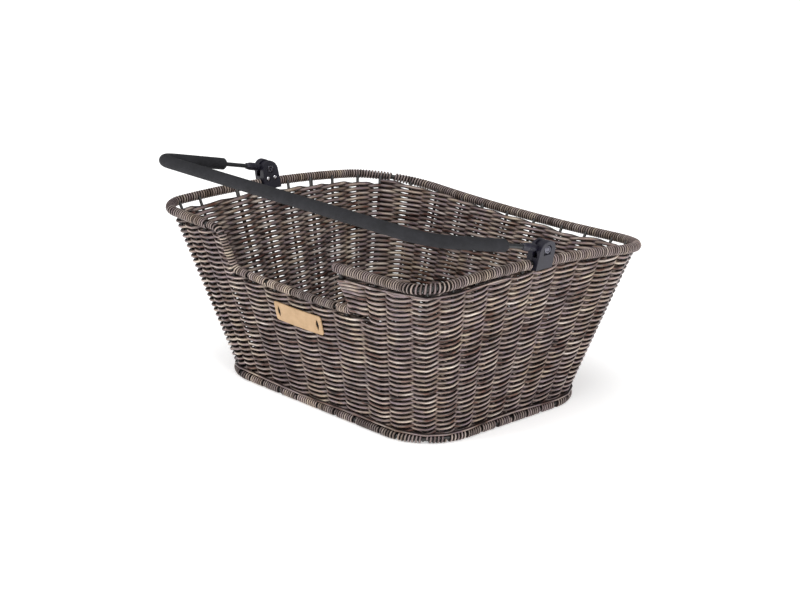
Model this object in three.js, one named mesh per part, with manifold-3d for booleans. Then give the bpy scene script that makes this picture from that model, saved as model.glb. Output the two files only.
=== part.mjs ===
// Woven bicycle basket with a folding carrying handle, in millimetres, +Z up.
// The long side runs along X, and the front, with the dip and the label, faces -Y.
// The origin is the middle of the underside, on the surface that the basket stands on.
import * as THREE from "three";
import { mergeVertices } from "three/addons/utils/BufferGeometryUtils.js";
import Module from "manifold-3d";

// Rim line: the middle of the wire round the top
const rimHalfLength = 224.5;
const rimHalfWidth = 180.3;
const rimSetBack = 11.9;
const rimFrontCorner = 32;
const rimBackCorner = 78;
const rimCornerHeight = 194.6;
const rimBackDrop = 23.2;
const rimSideRise = 10.3;
const rimFrontSag = 5.1;
const rimBackSag = 7.3;

// Base line: the middle of the wire round the bottom
const baseHalfLength = 176.9;
const baseHalfWidth = 126.1;
const baseCorner = 58.4;

// Thicknesses of wires and strands
const rimWire = 6;
const baseWire = 5.4;
const dipWire = 4.2;
const stakeWire = 3.5;
const floorWire = 4;
const strand = 3;
const wrapStrand = 2.5;
const weldDepth = 0.75;

// Places of the stakes. A place counts the four sides from the front left corner, so 1.5 is the
// middle of the right side and 2.5 the middle of the back.
const frontStakes = [0.04, 0.099, 0.157, 0.23, 0.318, 0.41, 0.52, 0.607, 0.708, 0.829, 0.906];
const rightStakes = [1, 1.1, 1.2, 1.3, 1.4, 1.5, 1.6, 1.7, 1.8, 1.9];
const backStakes = [2, 2.07, 2.141, 2.238, 2.329, 2.436, 2.543, 2.645, 2.73, 2.837, 2.939];
const leftStakes = [3.044, 3.139, 3.261, 3.362, 3.468, 3.59, 3.697, 3.86, 3.95];

// Floor wires
const floorWirePairs = 4;
const floorWirePitch = 35;

// Openings of the floor's weave, in rows across each bay between two floor wires
const floorSlotLength = 18;
const floorSlotWidth = 6;
const floorSlotRows = 3;
const floorSlotPitch = 28;

// Dip in the front of the rim, as X positions and heights of the wire's middle
const dipTopLeft = -113;
const dipFootLeft = -100;
const dipTopRight = 88;
const dipFootRight = 101;
const dipLeftHeight = 144;
const dipRightHeight = 143.5;
const dipSag = 2.6;
const dipBend = 9.5;
const dipLead = 20;
const stubOverhang = 5;

// Carrying handle
const pivotY = -8.5;
const pivotRise = 16.5;
const armLength = 167.4;
const armAngle = THREE.MathUtils.degToRad(13.6);
const handleBend = 34;
const handleRod = 5;
const gripDiameter = 14;
const gripStartRight = 56;
const gripStartLeft = 64;

// Moulded end fitting of the handle: eye, barrel and tip, measured from the pivot along the arm
const eyeDiameter = 16;
const eyeThickness = 6;
const neckHeight = 6;
const barrelDiameter = 9.2;
const barrelStart = 12.8;
const barrelEnd = 25;
const tipDiameter = 7;
const tipEnd = 31;
const rodInset = 2;

// Handle bracket
const bracketThickness = 17;
const bracketWidth = 24;
const bracketTopWidth = 22.6;
const bracketAbovePivot = 9.5;
const bracketBelowRim = 6;
const nutRecessDrop = 6;

// Fasteners
const boltShank = 5;
const boltHead = 8.6;
const boltHeadHeight = 2.6;
const boltSocket = 4;
const boltSocketDepth = 1.8;
const nutAcross = 8;
const nutHeight = 3;
const nutFloor = 1.7;
const screwShank = 3;
const screwHead = 5.2;
const screwHeadHeight = 1.8;
const screwRise = 5.8;
const screwSpread = 10.2;
const screwReach = 5;

// Label plate
const labelLength = 78.6;
const labelWidth = 22.5;
const labelThickness = 1.5;
const labelCorner = 3;
const labelX = 4.4;
const labelHeight = 113.1;
const slotWidth = 3;
const slotLength = 12.5;
const slotInset = 7;
const tieDepth = 3;

// Clearances
const fitGap = 0.3;
const endGap = 0.3;
const rimSlit = 4;
const wallFoot = 7.8;

// Fineness of curved parts: how far a straight step may cut a curve, and how many sides round parts have
const cornerFlatness = 0.8;
const rimStep = 75;
const ringSides = 8;
const wireSides = 6;
const boltSides = 12;
const eyeSides = 20;
const bendSteps = 3;
const wallBaySteps = 4;

// Sizes that follow
const rimBinding = rimWire + 2 * wrapStrand;
const dipBindingSize = dipWire + 2 * wrapStrand;
const baseBinding = baseWire + 2 * wrapStrand;
const baseLineHeight = baseBinding / 2;
const stakeInset = (rimWire + stakeWire) / 2 - weldDepth;
const dipInset = stakeInset - (dipWire + stakeWire) / 2 + weldDepth;
const wallHalf = stakeWire / 2 + strand;
const floorHalf = floorWire / 2 + strand;
const rimFront = rimSetBack - rimHalfWidth;
const rimBack = rimSetBack + rimHalfWidth;
const ringCorner = 1 / Math.cos(Math.PI / ringSides);
const long = 1000;

const wasm = await Module();
wasm.setup();

function toSolid(geometry) {
  const bare = geometry.clone();
  bare.deleteAttribute("normal");
  bare.deleteAttribute("uv");
  const merged = mergeVertices(bare, 1e-4);
  return new wasm.Manifold(
    new wasm.Mesh({
      numProp: 3,
      vertProperties: merged.attributes.position.array,
      triVerts: new Uint32Array(merged.index.array),
    }),
  );
}

function toGeometry(solid) {
  const mesh = solid.getMesh();
  const geometry = new THREE.BufferGeometry();
  geometry.setAttribute("position", new THREE.BufferAttribute(mesh.vertProperties, 3));
  geometry.setIndex(new THREE.BufferAttribute(mesh.triVerts, 1));
  geometry.computeVertexNormals();
  return geometry;
}

function joined(solids) {
  return solids.reduce((whole, solid) => whole.add(solid));
}

function cut(solid, ...tools) {
  return tools.reduce((left, tool) => left.subtract(tool), solid);
}

// A closed solid through a row of rings of points. A looped row joins its last ring to its first.
function loft(rings, looped = false) {
  const count = rings[0].length;
  const faces = [];
  const spans = looped ? rings.length : rings.length - 1;
  for (let i = 0; i < spans; i += 1) {
    const here = i * count;
    const next = ((i + 1) % rings.length) * count;
    for (let j = 0; j < count; j += 1) {
      const k = (j + 1) % count;
      faces.push(here + j, here + k, next + k);
      faces.push(here + j, next + k, next + j);
    }
  }
  if (!looped) {
    const last = (rings.length - 1) * count;
    for (let j = 1; j < count - 1; j += 1) {
      faces.push(0, j + 1, j);
      faces.push(last, last + j, last + j + 1);
    }
  }
  const geometry = new THREE.BufferGeometry().setFromPoints(rings.flat());
  geometry.setIndex(faces);
  return toSolid(geometry);
}

function stepsRound(radius) {
  return Math.ceil(Math.PI / 4 / Math.acos(1 - cornerFlatness / radius));
}

// A regular outline with one flat at its foot. The size is measured across its flats.
function roundSection(diameter, sides) {
  const radius = diameter / 2 / Math.cos(Math.PI / sides);
  return Array.from({ length: sides }, (_, i) => {
    const angle = (2 * Math.PI * (i + 0.5)) / sides - Math.PI / 2;
    return new THREE.Vector2(radius * Math.cos(angle), radius * Math.sin(angle));
  });
}

// A section carried along a row of points. The reference direction never runs along the row.
// The end sections face along their neighbours, or along the directions given.
function sweep(points, section, reference, { looped = false, startTravel, endTravel } = {}) {
  const last = points.length - 1;
  const rings = points.map((point, i) => {
    const before = points[i > 0 ? i - 1 : looped ? last : 0];
    const after = points[i < last ? i + 1 : looped ? 0 : last];
    const chord = new THREE.Vector3().subVectors(after, before).normalize();
    const travel = (i === 0 && startTravel) || (i === last && endTravel) || chord;
    const across = new THREE.Vector3().crossVectors(reference, travel).normalize();
    const upward = new THREE.Vector3().crossVectors(travel, across);
    return section.map((offset) =>
      point.clone().addScaledVector(across, offset.x).addScaledVector(upward, offset.y),
    );
  });
  return loft(rings, looped);
}

// A round bar along X between two X positions
function barAlongX(from, to, diameter, y, z, sides = boltSides) {
  const section = roundSection(diameter, sides);
  const ends = [new THREE.Vector3(from, y, z), new THREE.Vector3(to, y, z)];
  return sweep(ends, section, new THREE.Vector3(0, 0, 1));
}

function block(from, to) {
  const size = new THREE.Vector3().subVectors(to, from);
  const middle = new THREE.Vector3().addVectors(from, to).multiplyScalar(0.5);
  const geometry = new THREE.BoxGeometry(size.x, size.y, size.z);
  return toSolid(geometry.translate(middle.x, middle.y, middle.z));
}

function roundedRectangle(width, height, corner) {
  const x = width / 2 - corner;
  const y = height / 2 - corner;
  return new THREE.Shape()
    .moveTo(-x, -y - corner)
    .lineTo(x, -y - corner)
    .absarc(x, -y, corner, -Math.PI / 2, 0)
    .absarc(x, y, corner, 0, Math.PI / 2)
    .absarc(-x, y, corner, Math.PI / 2, Math.PI)
    .absarc(-x, -y, corner, Math.PI, 1.5 * Math.PI);
}

// A level loop of four straight sides and four round corners, walked from the middle of the front
// towards +X.
class CornerLoop {
  constructor({ halfLength, front, back, frontCorner, backCorner, heightAt, straightStep }) {
    const quarterFront = (frontCorner * Math.PI) / 2;
    const quarterBack = (backCorner * Math.PI) / 2;
    const halfFront = halfLength - frontCorner;
    const side = back - front - frontCorner - backCorner;
    const backStraight = 2 * (halfLength - backCorner);
    this.heightAt = heightAt;
    const rightWay = [halfFront, quarterFront, side, quarterBack];
    this.runs = [...rightWay, backStraight, ...rightWay.toReversed()];
    this.starts = [0];
    for (const run of this.runs) this.starts.push(this.starts.at(-1) + run);
    const roundSteps = { 1: stepsRound(frontCorner), 3: stepsRound(backCorner) };
    roundSteps[5] = roundSteps[3];
    roundSteps[7] = roundSteps[1];
    this.steps = this.runs.map((run, i) => roundSteps[i] ?? Math.max(Math.ceil(run / straightStep), 1));
    this.total = this.starts.at(-1);
    this.path = new THREE.Path()
      .moveTo(0, front)
      .lineTo(halfFront, front)
      .absarc(halfFront, front + frontCorner, frontCorner, -Math.PI / 2, 0)
      .lineTo(halfLength, back - backCorner)
      .absarc(halfLength - backCorner, back - backCorner, backCorner, 0, Math.PI / 2)
      .lineTo(backCorner - halfLength, back)
      .absarc(backCorner - halfLength, back - backCorner, backCorner, Math.PI / 2, Math.PI)
      .lineTo(-halfLength, front + frontCorner)
      .absarc(-halfFront, front + frontCorner, frontCorner, Math.PI, 1.5 * Math.PI)
      .lineTo(0, front);
    this.frontRight = this.starts[1] + quarterFront / 2;
    this.backRight = this.starts[3] + quarterBack / 2;
    this.backLeft = this.starts[5] + quarterBack / 2;
    this.frontLeft = this.starts[7] + quarterFront / 2;
    this.sideFoot = front + frontCorner;
    this.sideHead = back - backCorner;
    this.corners = [
      this.frontLeft - this.total,
      this.frontRight,
      this.backRight,
      this.backLeft,
      this.frontLeft,
    ];
  }

  // Distance walked to a place, which counts sides from the front left corner
  distanceOf(place) {
    const turned = THREE.MathUtils.euclideanModulo(place, 4);
    const side = Math.floor(turned);
    const distance = THREE.MathUtils.lerp(this.corners[side], this.corners[side + 1], turned - side);
    return distance + (this.total * (place - turned)) / 4;
  }

  // A point on the loop, or level with it and inside it
  pointAt(distance, inset = 0) {
    const share = THREE.MathUtils.euclideanModulo(distance, this.total) / this.total;
    const flat = this.path.getPoint(share);
    const height = this.heightAt(flat.x, flat.y);
    const travel = this.path.getTangent(share);
    return new THREE.Vector3(flat.x - travel.y * inset, flat.y + travel.x * inset, height);
  }

  travelAt(distance) {
    const step = 0.1;
    return this.pointAt(distance + step).sub(this.pointAt(distance - step)).normalize();
  }

  rightSideAt(y) {
    return this.starts[2] + y - this.sideFoot;
  }

  leftSideAt(y) {
    return this.starts[6] + this.sideHead - y;
  }

  // Points from one distance to another, finer round the corners
  points(from, to) {
    const stops = [];
    this.runs.forEach((run, i) => {
      const steps = this.steps[i];
      for (let j = 0; j < steps; j += 1) stops.push(this.starts[i] + (run * j) / steps);
    });
    const wrapped = [...stops.map((stop) => stop - this.total), ...stops];
    const inside = wrapped.filter((stop) => stop > from + endGap && stop < to - endGap);
    return [from, ...inside, to].map((stop) => this.pointAt(stop));
  }
}

// Height of the rim line: it falls towards the back, arches along the sides and sags between corners
function rimHeight(x, y) {
  const toBack = (y - rimFront) / (2 * rimHalfWidth);
  const fromMiddle = 2 * toBack - 1;
  const hollow = 1 - (x / rimHalfLength) ** 2;
  const sides = -rimBackDrop * toBack + rimSideRise * (1 - fromMiddle ** 2);
  return rimCornerHeight + sides - hollow * (rimBackSag * toBack + rimFrontSag * (1 - toBack));
}

const rim = new CornerLoop({
  halfLength: rimHalfLength,
  front: rimFront,
  back: rimBack,
  frontCorner: rimFrontCorner,
  backCorner: rimBackCorner,
  heightAt: rimHeight,
  straightStep: rimStep,
});

const base = new CornerLoop({
  halfLength: baseHalfLength,
  front: -baseHalfWidth,
  back: baseHalfWidth,
  frontCorner: baseCorner,
  backCorner: baseCorner,
  heightAt: () => baseLineHeight,
  straightStep: Infinity,
});

const stakes = [...frontStakes, ...rightStakes, ...backStakes, ...leftStakes];
const upAxis = new THREE.Vector3(0, 0, 1);
const sideAxis = new THREE.Vector3(1, 0, 0);

// A straight line up the wall's middle surface. Stakes stand on such lines, inside the base and rim wires.
function wallLine(place) {
  const foot = base.pointAt(base.distanceOf(place), stakeInset);
  return new THREE.Line3(foot, rim.pointAt(rim.distanceOf(place), stakeInset));
}

function wallOutward(place) {
  const step = 0.005;
  const line = wallLine(place);
  const before = wallLine(place - step);
  const after = wallLine(place + step);
  const rise = new THREE.Vector3().subVectors(line.end, line.start);
  return [0, 1].map((share) => {
    const along = after.at(share, new THREE.Vector3()).sub(before.at(share, new THREE.Vector3()));
    return along.cross(rise).normalize();
  });
}

// Y over the straight part of the front, on the surface between the base and rim lines or inside it
function frontY(x, z, inset) {
  const share = (z - baseLineHeight) / (rimHeight(x, rimFront) - baseLineHeight);
  return THREE.MathUtils.lerp(-baseHalfWidth, rimFront, share) + inset;
}

// Outline of the dip in X and Z, from the rim line left of it to the rim line right of it
function dipOutline() {
  const railSteps = 4;
  const corners = [
    [dipTopLeft - dipLead, rimHeight(dipTopLeft - dipLead, rimFront)],
    [dipTopLeft, rimHeight(dipTopLeft, rimFront)],
    [dipFootLeft, dipLeftHeight],
  ];
  const path = new THREE.Path().moveTo(...corners[0]);
  const bendAt = (before, corner, after) => {
    const [a, b, c] = [before, corner, after].map((pair) => new THREE.Vector2(...pair));
    const entry = b.clone().add(a.clone().sub(b).setLength(dipBend));
    const exit = b.clone().add(c.clone().sub(b).setLength(dipBend));
    path.lineTo(entry.x, entry.y).quadraticCurveTo(b.x, b.y, exit.x, exit.y);
  };
  const rail = Array.from({ length: railSteps + 1 }, (_, i) => {
    const share = i / railSteps;
    const x = THREE.MathUtils.lerp(dipFootLeft, dipFootRight, share);
    const level = THREE.MathUtils.lerp(dipLeftHeight, dipRightHeight, share);
    return [x, level - 4 * dipSag * share * (1 - share)];
  });
  const topRight = [dipTopRight, rimHeight(dipTopRight, rimFront)];
  const end = [dipTopRight + dipLead, rimHeight(dipTopRight + dipLead, rimFront)];
  bendAt(corners[0], corners[1], corners[2]);
  bendAt(corners[1], rail[0], rail[1]);
  for (const [x, z] of rail.slice(1, -1)) path.lineTo(x, z);
  bendAt(rail.at(-2), rail.at(-1), topRight);
  bendAt(rail.at(-1), topRight, end);
  path.lineTo(...end);
  return path.getPoints(bendSteps);
}

const dipFlat = dipOutline();
const dipPoints = dipFlat.map((p) => new THREE.Vector3(p.x, frontY(p.x, p.y, dipInset), p.y));
const frontOutward = wallOutward(0.5)[0];

// Everything above the dip's wire, through the front wall. Its left edge and foot can be moved into the
// wall, and its right edge along X.
function dipPrism(deeper, rightShift) {
  const railLast = dipFlat.findLastIndex((p) => p.y < dipRightHeight);
  const outline = dipFlat.map((p, i) => {
    if (i > railLast) return [p.x + rightShift, p.y];
    const along = dipFlat[i + 1].clone().sub(dipFlat[Math.max(i - 1, 0)]).normalize();
    return [p.x + along.y * deeper, p.y - along.x * deeper];
  });
  const shape = new THREE.Shape().moveTo(outline[0][0], 2 * rimCornerHeight);
  for (const [x, z] of outline) shape.lineTo(x, z);
  shape.lineTo(outline.at(-1)[0], 2 * rimCornerHeight);
  const geometry = new THREE.ExtrudeGeometry(shape, { depth: 2 * rimHalfWidth, bevelEnabled: false });
  geometry.rotateX(Math.PI / 2);
  return toSolid(geometry);
}

function baseEdgeY(x) {
  const past = Math.max(Math.abs(x) - (baseHalfLength - baseCorner), 0);
  return baseHalfWidth - baseCorner + Math.sqrt(baseCorner ** 2 - past ** 2);
}

// All welded wires as one solid, thickened by the clearance
function wires(clearance) {
  const grown = (diameter) => roundSection(diameter + 2 * clearance, wireSides);
  const rightEnd = dipTopRight + dipLead;
  const leftEnd = rim.total + dipTopLeft - dipLead;
  const rimRun = rim.points(rightEnd - endGap, leftEnd + endGap);
  const rimLoop = sweep(rimRun, grown(rimWire), upAxis);
  const dipLine = sweep(dipPoints, grown(dipWire), frontOutward);
  const baseLoop = sweep(base.points(0, base.total).slice(1), grown(baseWire), upAxis, { looped: true });
  const uprights = stakes.map((place) => {
    const line = wallLine(place);
    return sweep([line.start, line.end], grown(stakeWire), sideAxis);
  });
  const floor = [];
  for (let i = -floorWirePairs; i <= floorWirePairs; i += 1) {
    const x = i * floorWirePitch;
    const ends = [-baseEdgeY(x), baseEdgeY(x)].map((y) => new THREE.Vector3(x, y, floorHalf));
    floor.push(sweep(ends, grown(floorWire), upAxis));
  }
  return joined([cut(joined(uprights), dipPrism(0, 0)), rimLoop, dipLine, baseLoop, ...floor]);
}

const wireFrame = wires(0);
const wireRoom = wires(fitGap);

// A length of binding round the rim or base wire
function bindingAlong(loop, from, to, diameter) {
  const ends = { startTravel: loop.travelAt(from), endTravel: loop.travelAt(to) };
  const tube = sweep(loop.points(from, to), roundSection(diameter, ringSides), upAxis, ends);
  return cut(tube, wireRoom);
}

const bracketHalfRun = bracketWidth / 2 + endGap;
const rimBindings = {
  rim_binding_front_right: [dipTopRight - stubOverhang, rim.rightSideAt(pivotY) - bracketHalfRun],
  rim_binding_back_right: [rim.rightSideAt(pivotY) + bracketHalfRun, rim.backRight - endGap],
  rim_binding_back: [rim.backRight + endGap, rim.backLeft - endGap],
  rim_binding_back_left: [rim.backLeft + endGap, rim.leftSideAt(pivotY) - bracketHalfRun],
  rim_binding_front_left: [
    rim.leftSideAt(pivotY) + bracketHalfRun,
    rim.total + dipTopLeft - dipLead - endGap,
  ],
};
const baseBindings = {
  base_binding_front: [base.frontLeft - base.total + endGap, base.frontRight - endGap],
  base_binding_right: [base.frontRight + endGap, base.backRight - endGap],
  base_binding_back: [base.backRight + endGap, base.backLeft - endGap],
  base_binding_left: [base.backLeft + endGap, base.frontLeft - endGap],
};

// The dip's binding starts on the rim left of the dip and ends at the foot of its right edge.
function dipBindingPoints() {
  const footIndex = dipFlat.findLastIndex((p) => p.y < dipRightHeight + dipBend);
  return dipPoints.slice(0, footIndex + 1);
}

function dipBinding() {
  const tube = sweep(dipBindingPoints(), roundSection(dipBindingSize, ringSides), frontOutward);
  return cut(tube, wireRoom);
}

// The wall as one closed shell, cut out at the dip. It runs straight from stake to stake, thick over
// each stake and thin halfway to the next, as the twined strands do.
function wovenWall() {
  const rings = stakes.flatMap((place, i) => {
    const next = stakes[i + 1] ?? stakes[0] + 4;
    const lines = [wallLine(place), wallLine(next)];
    return Array.from({ length: wallBaySteps }, (_, step) => {
      const share = step / wallBaySteps;
      const half = strand / 2 + (wallHalf - strand / 2) * Math.abs(Math.cos(Math.PI * share));
      const line = new THREE.Line3(
        lines[0].start.clone().lerp(lines[1].start, share),
        lines[0].end.clone().lerp(lines[1].end, share),
      );
      const slant = line.distance();
      const foot = wallFoot / slant;
      const head = 1 - (rimBinding / 2 + rimSlit) / slant;
      const outward = wallOutward(THREE.MathUtils.lerp(place, next, share));
      const face = (side) =>
        [foot, head].map((height, end) =>
          line.at(height, new THREE.Vector3()).addScaledVector(outward[end], side * half),
        );
      return [...face(-1), ...face(1).reverse()];
    });
  });
  const shell = loft(rings, true);
  const selvedge = dipWire / 2 + strand;
  const hug = roundSection(dipBindingSize + 2 * fitGap, ringSides);
  const bindingRoom = sweep(dipBindingPoints(), hug, frontOutward);
  const belowBinding = (dipBindingSize / 2 + fitGap) * ringCorner + fitGap;
  const dip = dipPrism(belowBinding, -selvedge);
  return cut(shell, dip, bindingRoom, wireRoom, ...labelTieRooms());
}

function wovenFloor() {
  const inset = (baseBinding / 2) * ringCorner + fitGap;
  const outline = roundedRectangle(
    2 * (baseHalfLength - inset),
    2 * (baseHalfWidth - inset),
    baseCorner - inset,
  );
  const settings = { depth: 2 * floorHalf, bevelEnabled: false, curveSegments: stepsRound(baseCorner) };
  const plate = toSolid(new THREE.ExtrudeGeometry(outline, settings));
  const size = new THREE.Vector3(floorSlotLength, floorSlotWidth, long).multiplyScalar(0.5);
  const slots = [];
  for (let i = -floorWirePairs; i < floorWirePairs; i += 1) {
    for (let j = -floorSlotRows; j <= floorSlotRows; j += 1) {
      const middle = new THREE.Vector3((i + 0.5) * floorWirePitch, j * floorSlotPitch, 0);
      slots.push(block(middle.clone().sub(size), middle.clone().add(size)));
    }
  }
  return cut(plate, wireRoom, ...slots);
}

// Label plate and its ties, in a frame on the wall's middle surface: X along, Y up the slant, Z out
const labelPlace = new THREE.Matrix4()
  .makeTranslation(labelX, frontY(labelX, labelHeight, stakeInset), labelHeight)
  .multiply(new THREE.Matrix4().makeBasis(sideAxis, frontOutward.clone().cross(sideAxis), frontOutward));
const slotMiddle = labelLength / 2 - slotInset;

function onLabel(outline, from, to, x = 0) {
  const settings = { depth: to - from, bevelEnabled: false, curveSegments: 3 };
  const geometry = new THREE.ExtrudeGeometry(outline, settings);
  return toSolid(geometry.translate(x, 0, from).applyMatrix4(labelPlace));
}

function slotOutline(grow) {
  return roundedRectangle(slotWidth + grow, slotLength + grow, (slotWidth + grow) / 2 - fitGap / 2);
}

function labelPlate() {
  const back = wallHalf + fitGap;
  const plate = onLabel(roundedRectangle(labelLength, labelWidth, labelCorner), back, back + labelThickness);
  const slots = [-slotMiddle, slotMiddle].map((x) => onLabel(slotOutline(0), 0, 2 * wallHalf, x));
  return cut(plate, ...slots);
}

function labelTie(x) {
  return onLabel(slotOutline(-2 * fitGap), wallHalf - tieDepth, wallHalf + labelThickness, x);
}

function labelTieRooms() {
  const from = wallHalf - tieDepth - fitGap;
  return [-slotMiddle, slotMiddle].map((x) => onLabel(slotOutline(0), from, 2 * wallHalf, x));
}

// Right-hand bracket, leaning out with the wall. Rises are measured from the rim line under the pivot.
const bracketFoot = rimHeight(rimHalfLength, pivotY);
const wallLean = (rimHalfLength - baseHalfLength) / (bracketFoot - baseLineHeight);
const armPlane = rimHalfLength + pivotRise * wallLean;
const pivotZ = bracketFoot + pivotRise;
const innerFace = armPlane - bracketThickness / 2;
const outerFace = armPlane + bracketThickness / 2;

function bracketOutline() {
  const radius = bracketTopWidth / 2;
  const springing = pivotRise + bracketAbovePivot - radius;
  return new THREE.Shape()
    .moveTo(-bracketWidth / 2, -bracketBelowRim)
    .lineTo(bracketWidth / 2, -bracketBelowRim)
    .lineTo(radius, springing)
    .absarc(0, springing, radius, 0, Math.PI)
    .lineTo(-bracketWidth / 2, -bracketBelowRim);
}

// One half of the bracket: side -1 is the inner half and side 1 the outer one.
function bracketHalf(side) {
  const depth = (bracketThickness - fitGap) / 2;
  const from = side < 0 ? -bracketThickness / 2 : fitGap / 2;
  const settings = { depth, bevelEnabled: false, curveSegments: 8 };
  const geometry = new THREE.ExtrudeGeometry(bracketOutline(), settings);
  geometry.translate(0, 0, from);
  const upright = new THREE.Matrix4().makeBasis(new THREE.Vector3(0, 1, 0), upAxis, sideAxis);
  const lean = new THREE.Matrix4().makeShear(0, 0, 0, 0, wallLean, 0);
  geometry.applyMatrix4(upright).applyMatrix4(lean);
  geometry.translate(rimHalfLength, pivotY, bracketFoot);
  // The eye's room runs on past this half, which leans across the arm.
  const eyeFace = armPlane + side * (eyeThickness / 2 + fitGap);
  const past = armPlane - side * bracketThickness;
  const roomFloor = pivotZ - eyeDiameter / 2 - fitGap;
  const eyeRoom = block(
    new THREE.Vector3(Math.min(eyeFace, past), pivotY - bracketWidth, roomFloor),
    new THREE.Vector3(Math.max(eyeFace, past), pivotY + bracketWidth, pivotZ + bracketWidth),
  );
  const boltRoom = barAlongX(0, long, boltShank + 2 * fitGap, pivotY, pivotZ);
  return cut(toSolid(geometry), eyeRoom, boltRoom, wireRoom, ...screwYs.map(screwRoom));
}

const screwYs = [pivotY - screwSpread / 2, pivotY + screwSpread / 2];
const screwZ = bracketFoot + screwRise;
const screwFace = rimHalfLength + screwRise * wallLean - bracketThickness / 2;

function screwRoom(y) {
  const shank = barAlongX(0, rimHalfLength + screwReach + fitGap, screwShank + 2 * fitGap, y, screwZ);
  const head = barAlongX(0, screwFace + screwHeadHeight, screwHead + 2 * fitGap, y, screwZ);
  return joined([shank, head]);
}

function bracketInner() {
  const headRoom = barAlongX(0, innerFace + boltHeadHeight, boltHead + 2 * fitGap, pivotY, pivotZ);
  return cut(bracketHalf(-1), headRoom);
}

// The nut's recess is a slot with a round head at the pivot, open down the outer face.
function bracketOuter() {
  const floor = armPlane + eyeThickness / 2 + fitGap + nutFloor;
  const width = nutAcross / Math.cos(Math.PI / 6) + 2 * fitGap;
  const head = barAlongX(floor, long, width, pivotY, pivotZ);
  const slot = block(
    new THREE.Vector3(floor, pivotY - width / 2, pivotZ - nutRecessDrop),
    new THREE.Vector3(outerFace + bracketThickness, pivotY + width / 2, pivotZ),
  );
  return cut(bracketHalf(1), head, slot);
}

function pivotBolt() {
  const headEnd = innerFace + boltHeadHeight - fitGap;
  const head = barAlongX(headEnd - boltHeadHeight, headEnd, boltHead, pivotY, pivotZ);
  const nutEnd = armPlane + eyeThickness / 2 + 2 * fitGap + nutFloor + nutHeight;
  const shank = barAlongX(headEnd - endGap, nutEnd, boltShank, pivotY, pivotZ);
  const socket = barAlongX(0, headEnd - boltHeadHeight + boltSocketDepth, boltSocket, pivotY, pivotZ, 6);
  return cut(joined([head, shank]), socket);
}

function pivotNut() {
  const from = armPlane + eyeThickness / 2 + 2 * fitGap + nutFloor;
  const body = barAlongX(from, from + nutHeight, nutAcross, pivotY, pivotZ, 6);
  return cut(body, barAlongX(0, long, boltShank + 2 * fitGap, pivotY, pivotZ));
}

function bracketScrew(y) {
  const headEnd = screwFace + screwHeadHeight - fitGap;
  const head = barAlongX(headEnd - screwHeadHeight, headEnd, screwHead, y, screwZ);
  const shank = barAlongX(headEnd - endGap, rimHalfLength + screwReach, screwShank, y, screwZ);
  return joined([head, shank]);
}

// The handle is made lying level with its pivot axis along X through its own origin, arms towards -Y.
function handlePoints(fromRight, fromLeft) {
  const bend = armPlane - handleBend;
  const turn = armLength - handleBend;
  const path = new THREE.Path()
    .moveTo(armPlane, -fromRight)
    .lineTo(armPlane, -turn)
    .absarc(bend, -turn, handleBend, 0, -Math.PI / 2, true)
    .lineTo(-bend, -armLength)
    .absarc(-bend, -turn, handleBend, -Math.PI / 2, -Math.PI, true)
    .lineTo(-armPlane, -fromLeft);
  return path.getPoints(bendSteps).map((p) => new THREE.Vector3(p.x, p.y, 0));
}

function handleTube(diameter, fromRight, fromLeft, sides = ringSides) {
  return sweep(handlePoints(fromRight, fromLeft), roundSection(diameter, sides), upAxis);
}

function bailRod() {
  return handleTube(handleRod, barrelStart + rodInset, barrelStart + rodInset);
}

function foamGrip() {
  const sleeve = handleTube(gripDiameter, gripStartRight, gripStartLeft);
  return cut(sleeve, handleTube(handleRod + 2 * fitGap, barrelStart, barrelStart));
}

function endFitting() {
  const halfEye = eyeThickness / 2;
  const eye = barAlongX(armPlane - halfEye, armPlane + halfEye, eyeDiameter, 0, 0, eyeSides);
  const neck = block(
    new THREE.Vector3(armPlane - halfEye, -barrelStart - endGap, -neckHeight / 2),
    new THREE.Vector3(armPlane + halfEye, 0, neckHeight / 2),
  );
  const profile = [
    [barrelStart, 0],
    [barrelStart, barrelDiameter / 2],
    [barrelEnd, barrelDiameter / 2],
    [tipEnd, tipDiameter / 2],
    [tipEnd, 0],
  ].map(([along, radius]) => new THREE.Vector2(radius, along));
  const barrel = new THREE.LatheGeometry(profile, boltSides);
  barrel.rotateX(Math.PI).translate(armPlane, 0, 0);
  const rodRoom = handleTube(handleRod + 2 * fitGap, barrelStart + rodInset - fitGap, barrelStart);
  const boltRoom = barAlongX(0, long, boltShank + 2 * fitGap, 0, 0);
  return cut(joined([eye, neck, toSolid(barrel)]), rodRoom, boltRoom);
}

const materials = {
  wire: new THREE.MeshStandardMaterial({ color: 0x2c2a29, roughness: 0.5, metalness: 0.6 }),
  weave: new THREE.MeshStandardMaterial({ color: 0x6b5d52, roughness: 0.45, metalness: 0 }),
  binding: new THREE.MeshStandardMaterial({ color: 0x776b63, roughness: 0.45, metalness: 0 }),
  plastic: new THREE.MeshStandardMaterial({ color: 0x26272b, roughness: 0.5, metalness: 0 }),
  foam: new THREE.MeshStandardMaterial({ color: 0x2e2f33, roughness: 0.9, metalness: 0 }),
  rod: new THREE.MeshStandardMaterial({ color: 0x1f2023, roughness: 0.4, metalness: 0.5 }),
  bolt: new THREE.MeshStandardMaterial({ color: 0x606166, roughness: 0.35, metalness: 0.9 }),
  screw: new THREE.MeshStandardMaterial({ color: 0xb9bbbf, roughness: 0.3, metalness: 1 }),
  label: new THREE.MeshStandardMaterial({ color: 0xd9b98c, roughness: 0.6, metalness: 0 }),
  tie: new THREE.MeshStandardMaterial({ color: 0x2a1f18, roughness: 0.6, metalness: 0 }),
};

function addPiece(group, name, solid, material) {
  const mesh = new THREE.Mesh(toGeometry(solid), material.clone());
  mesh.name = name;
  group.add(mesh);
}

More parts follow.
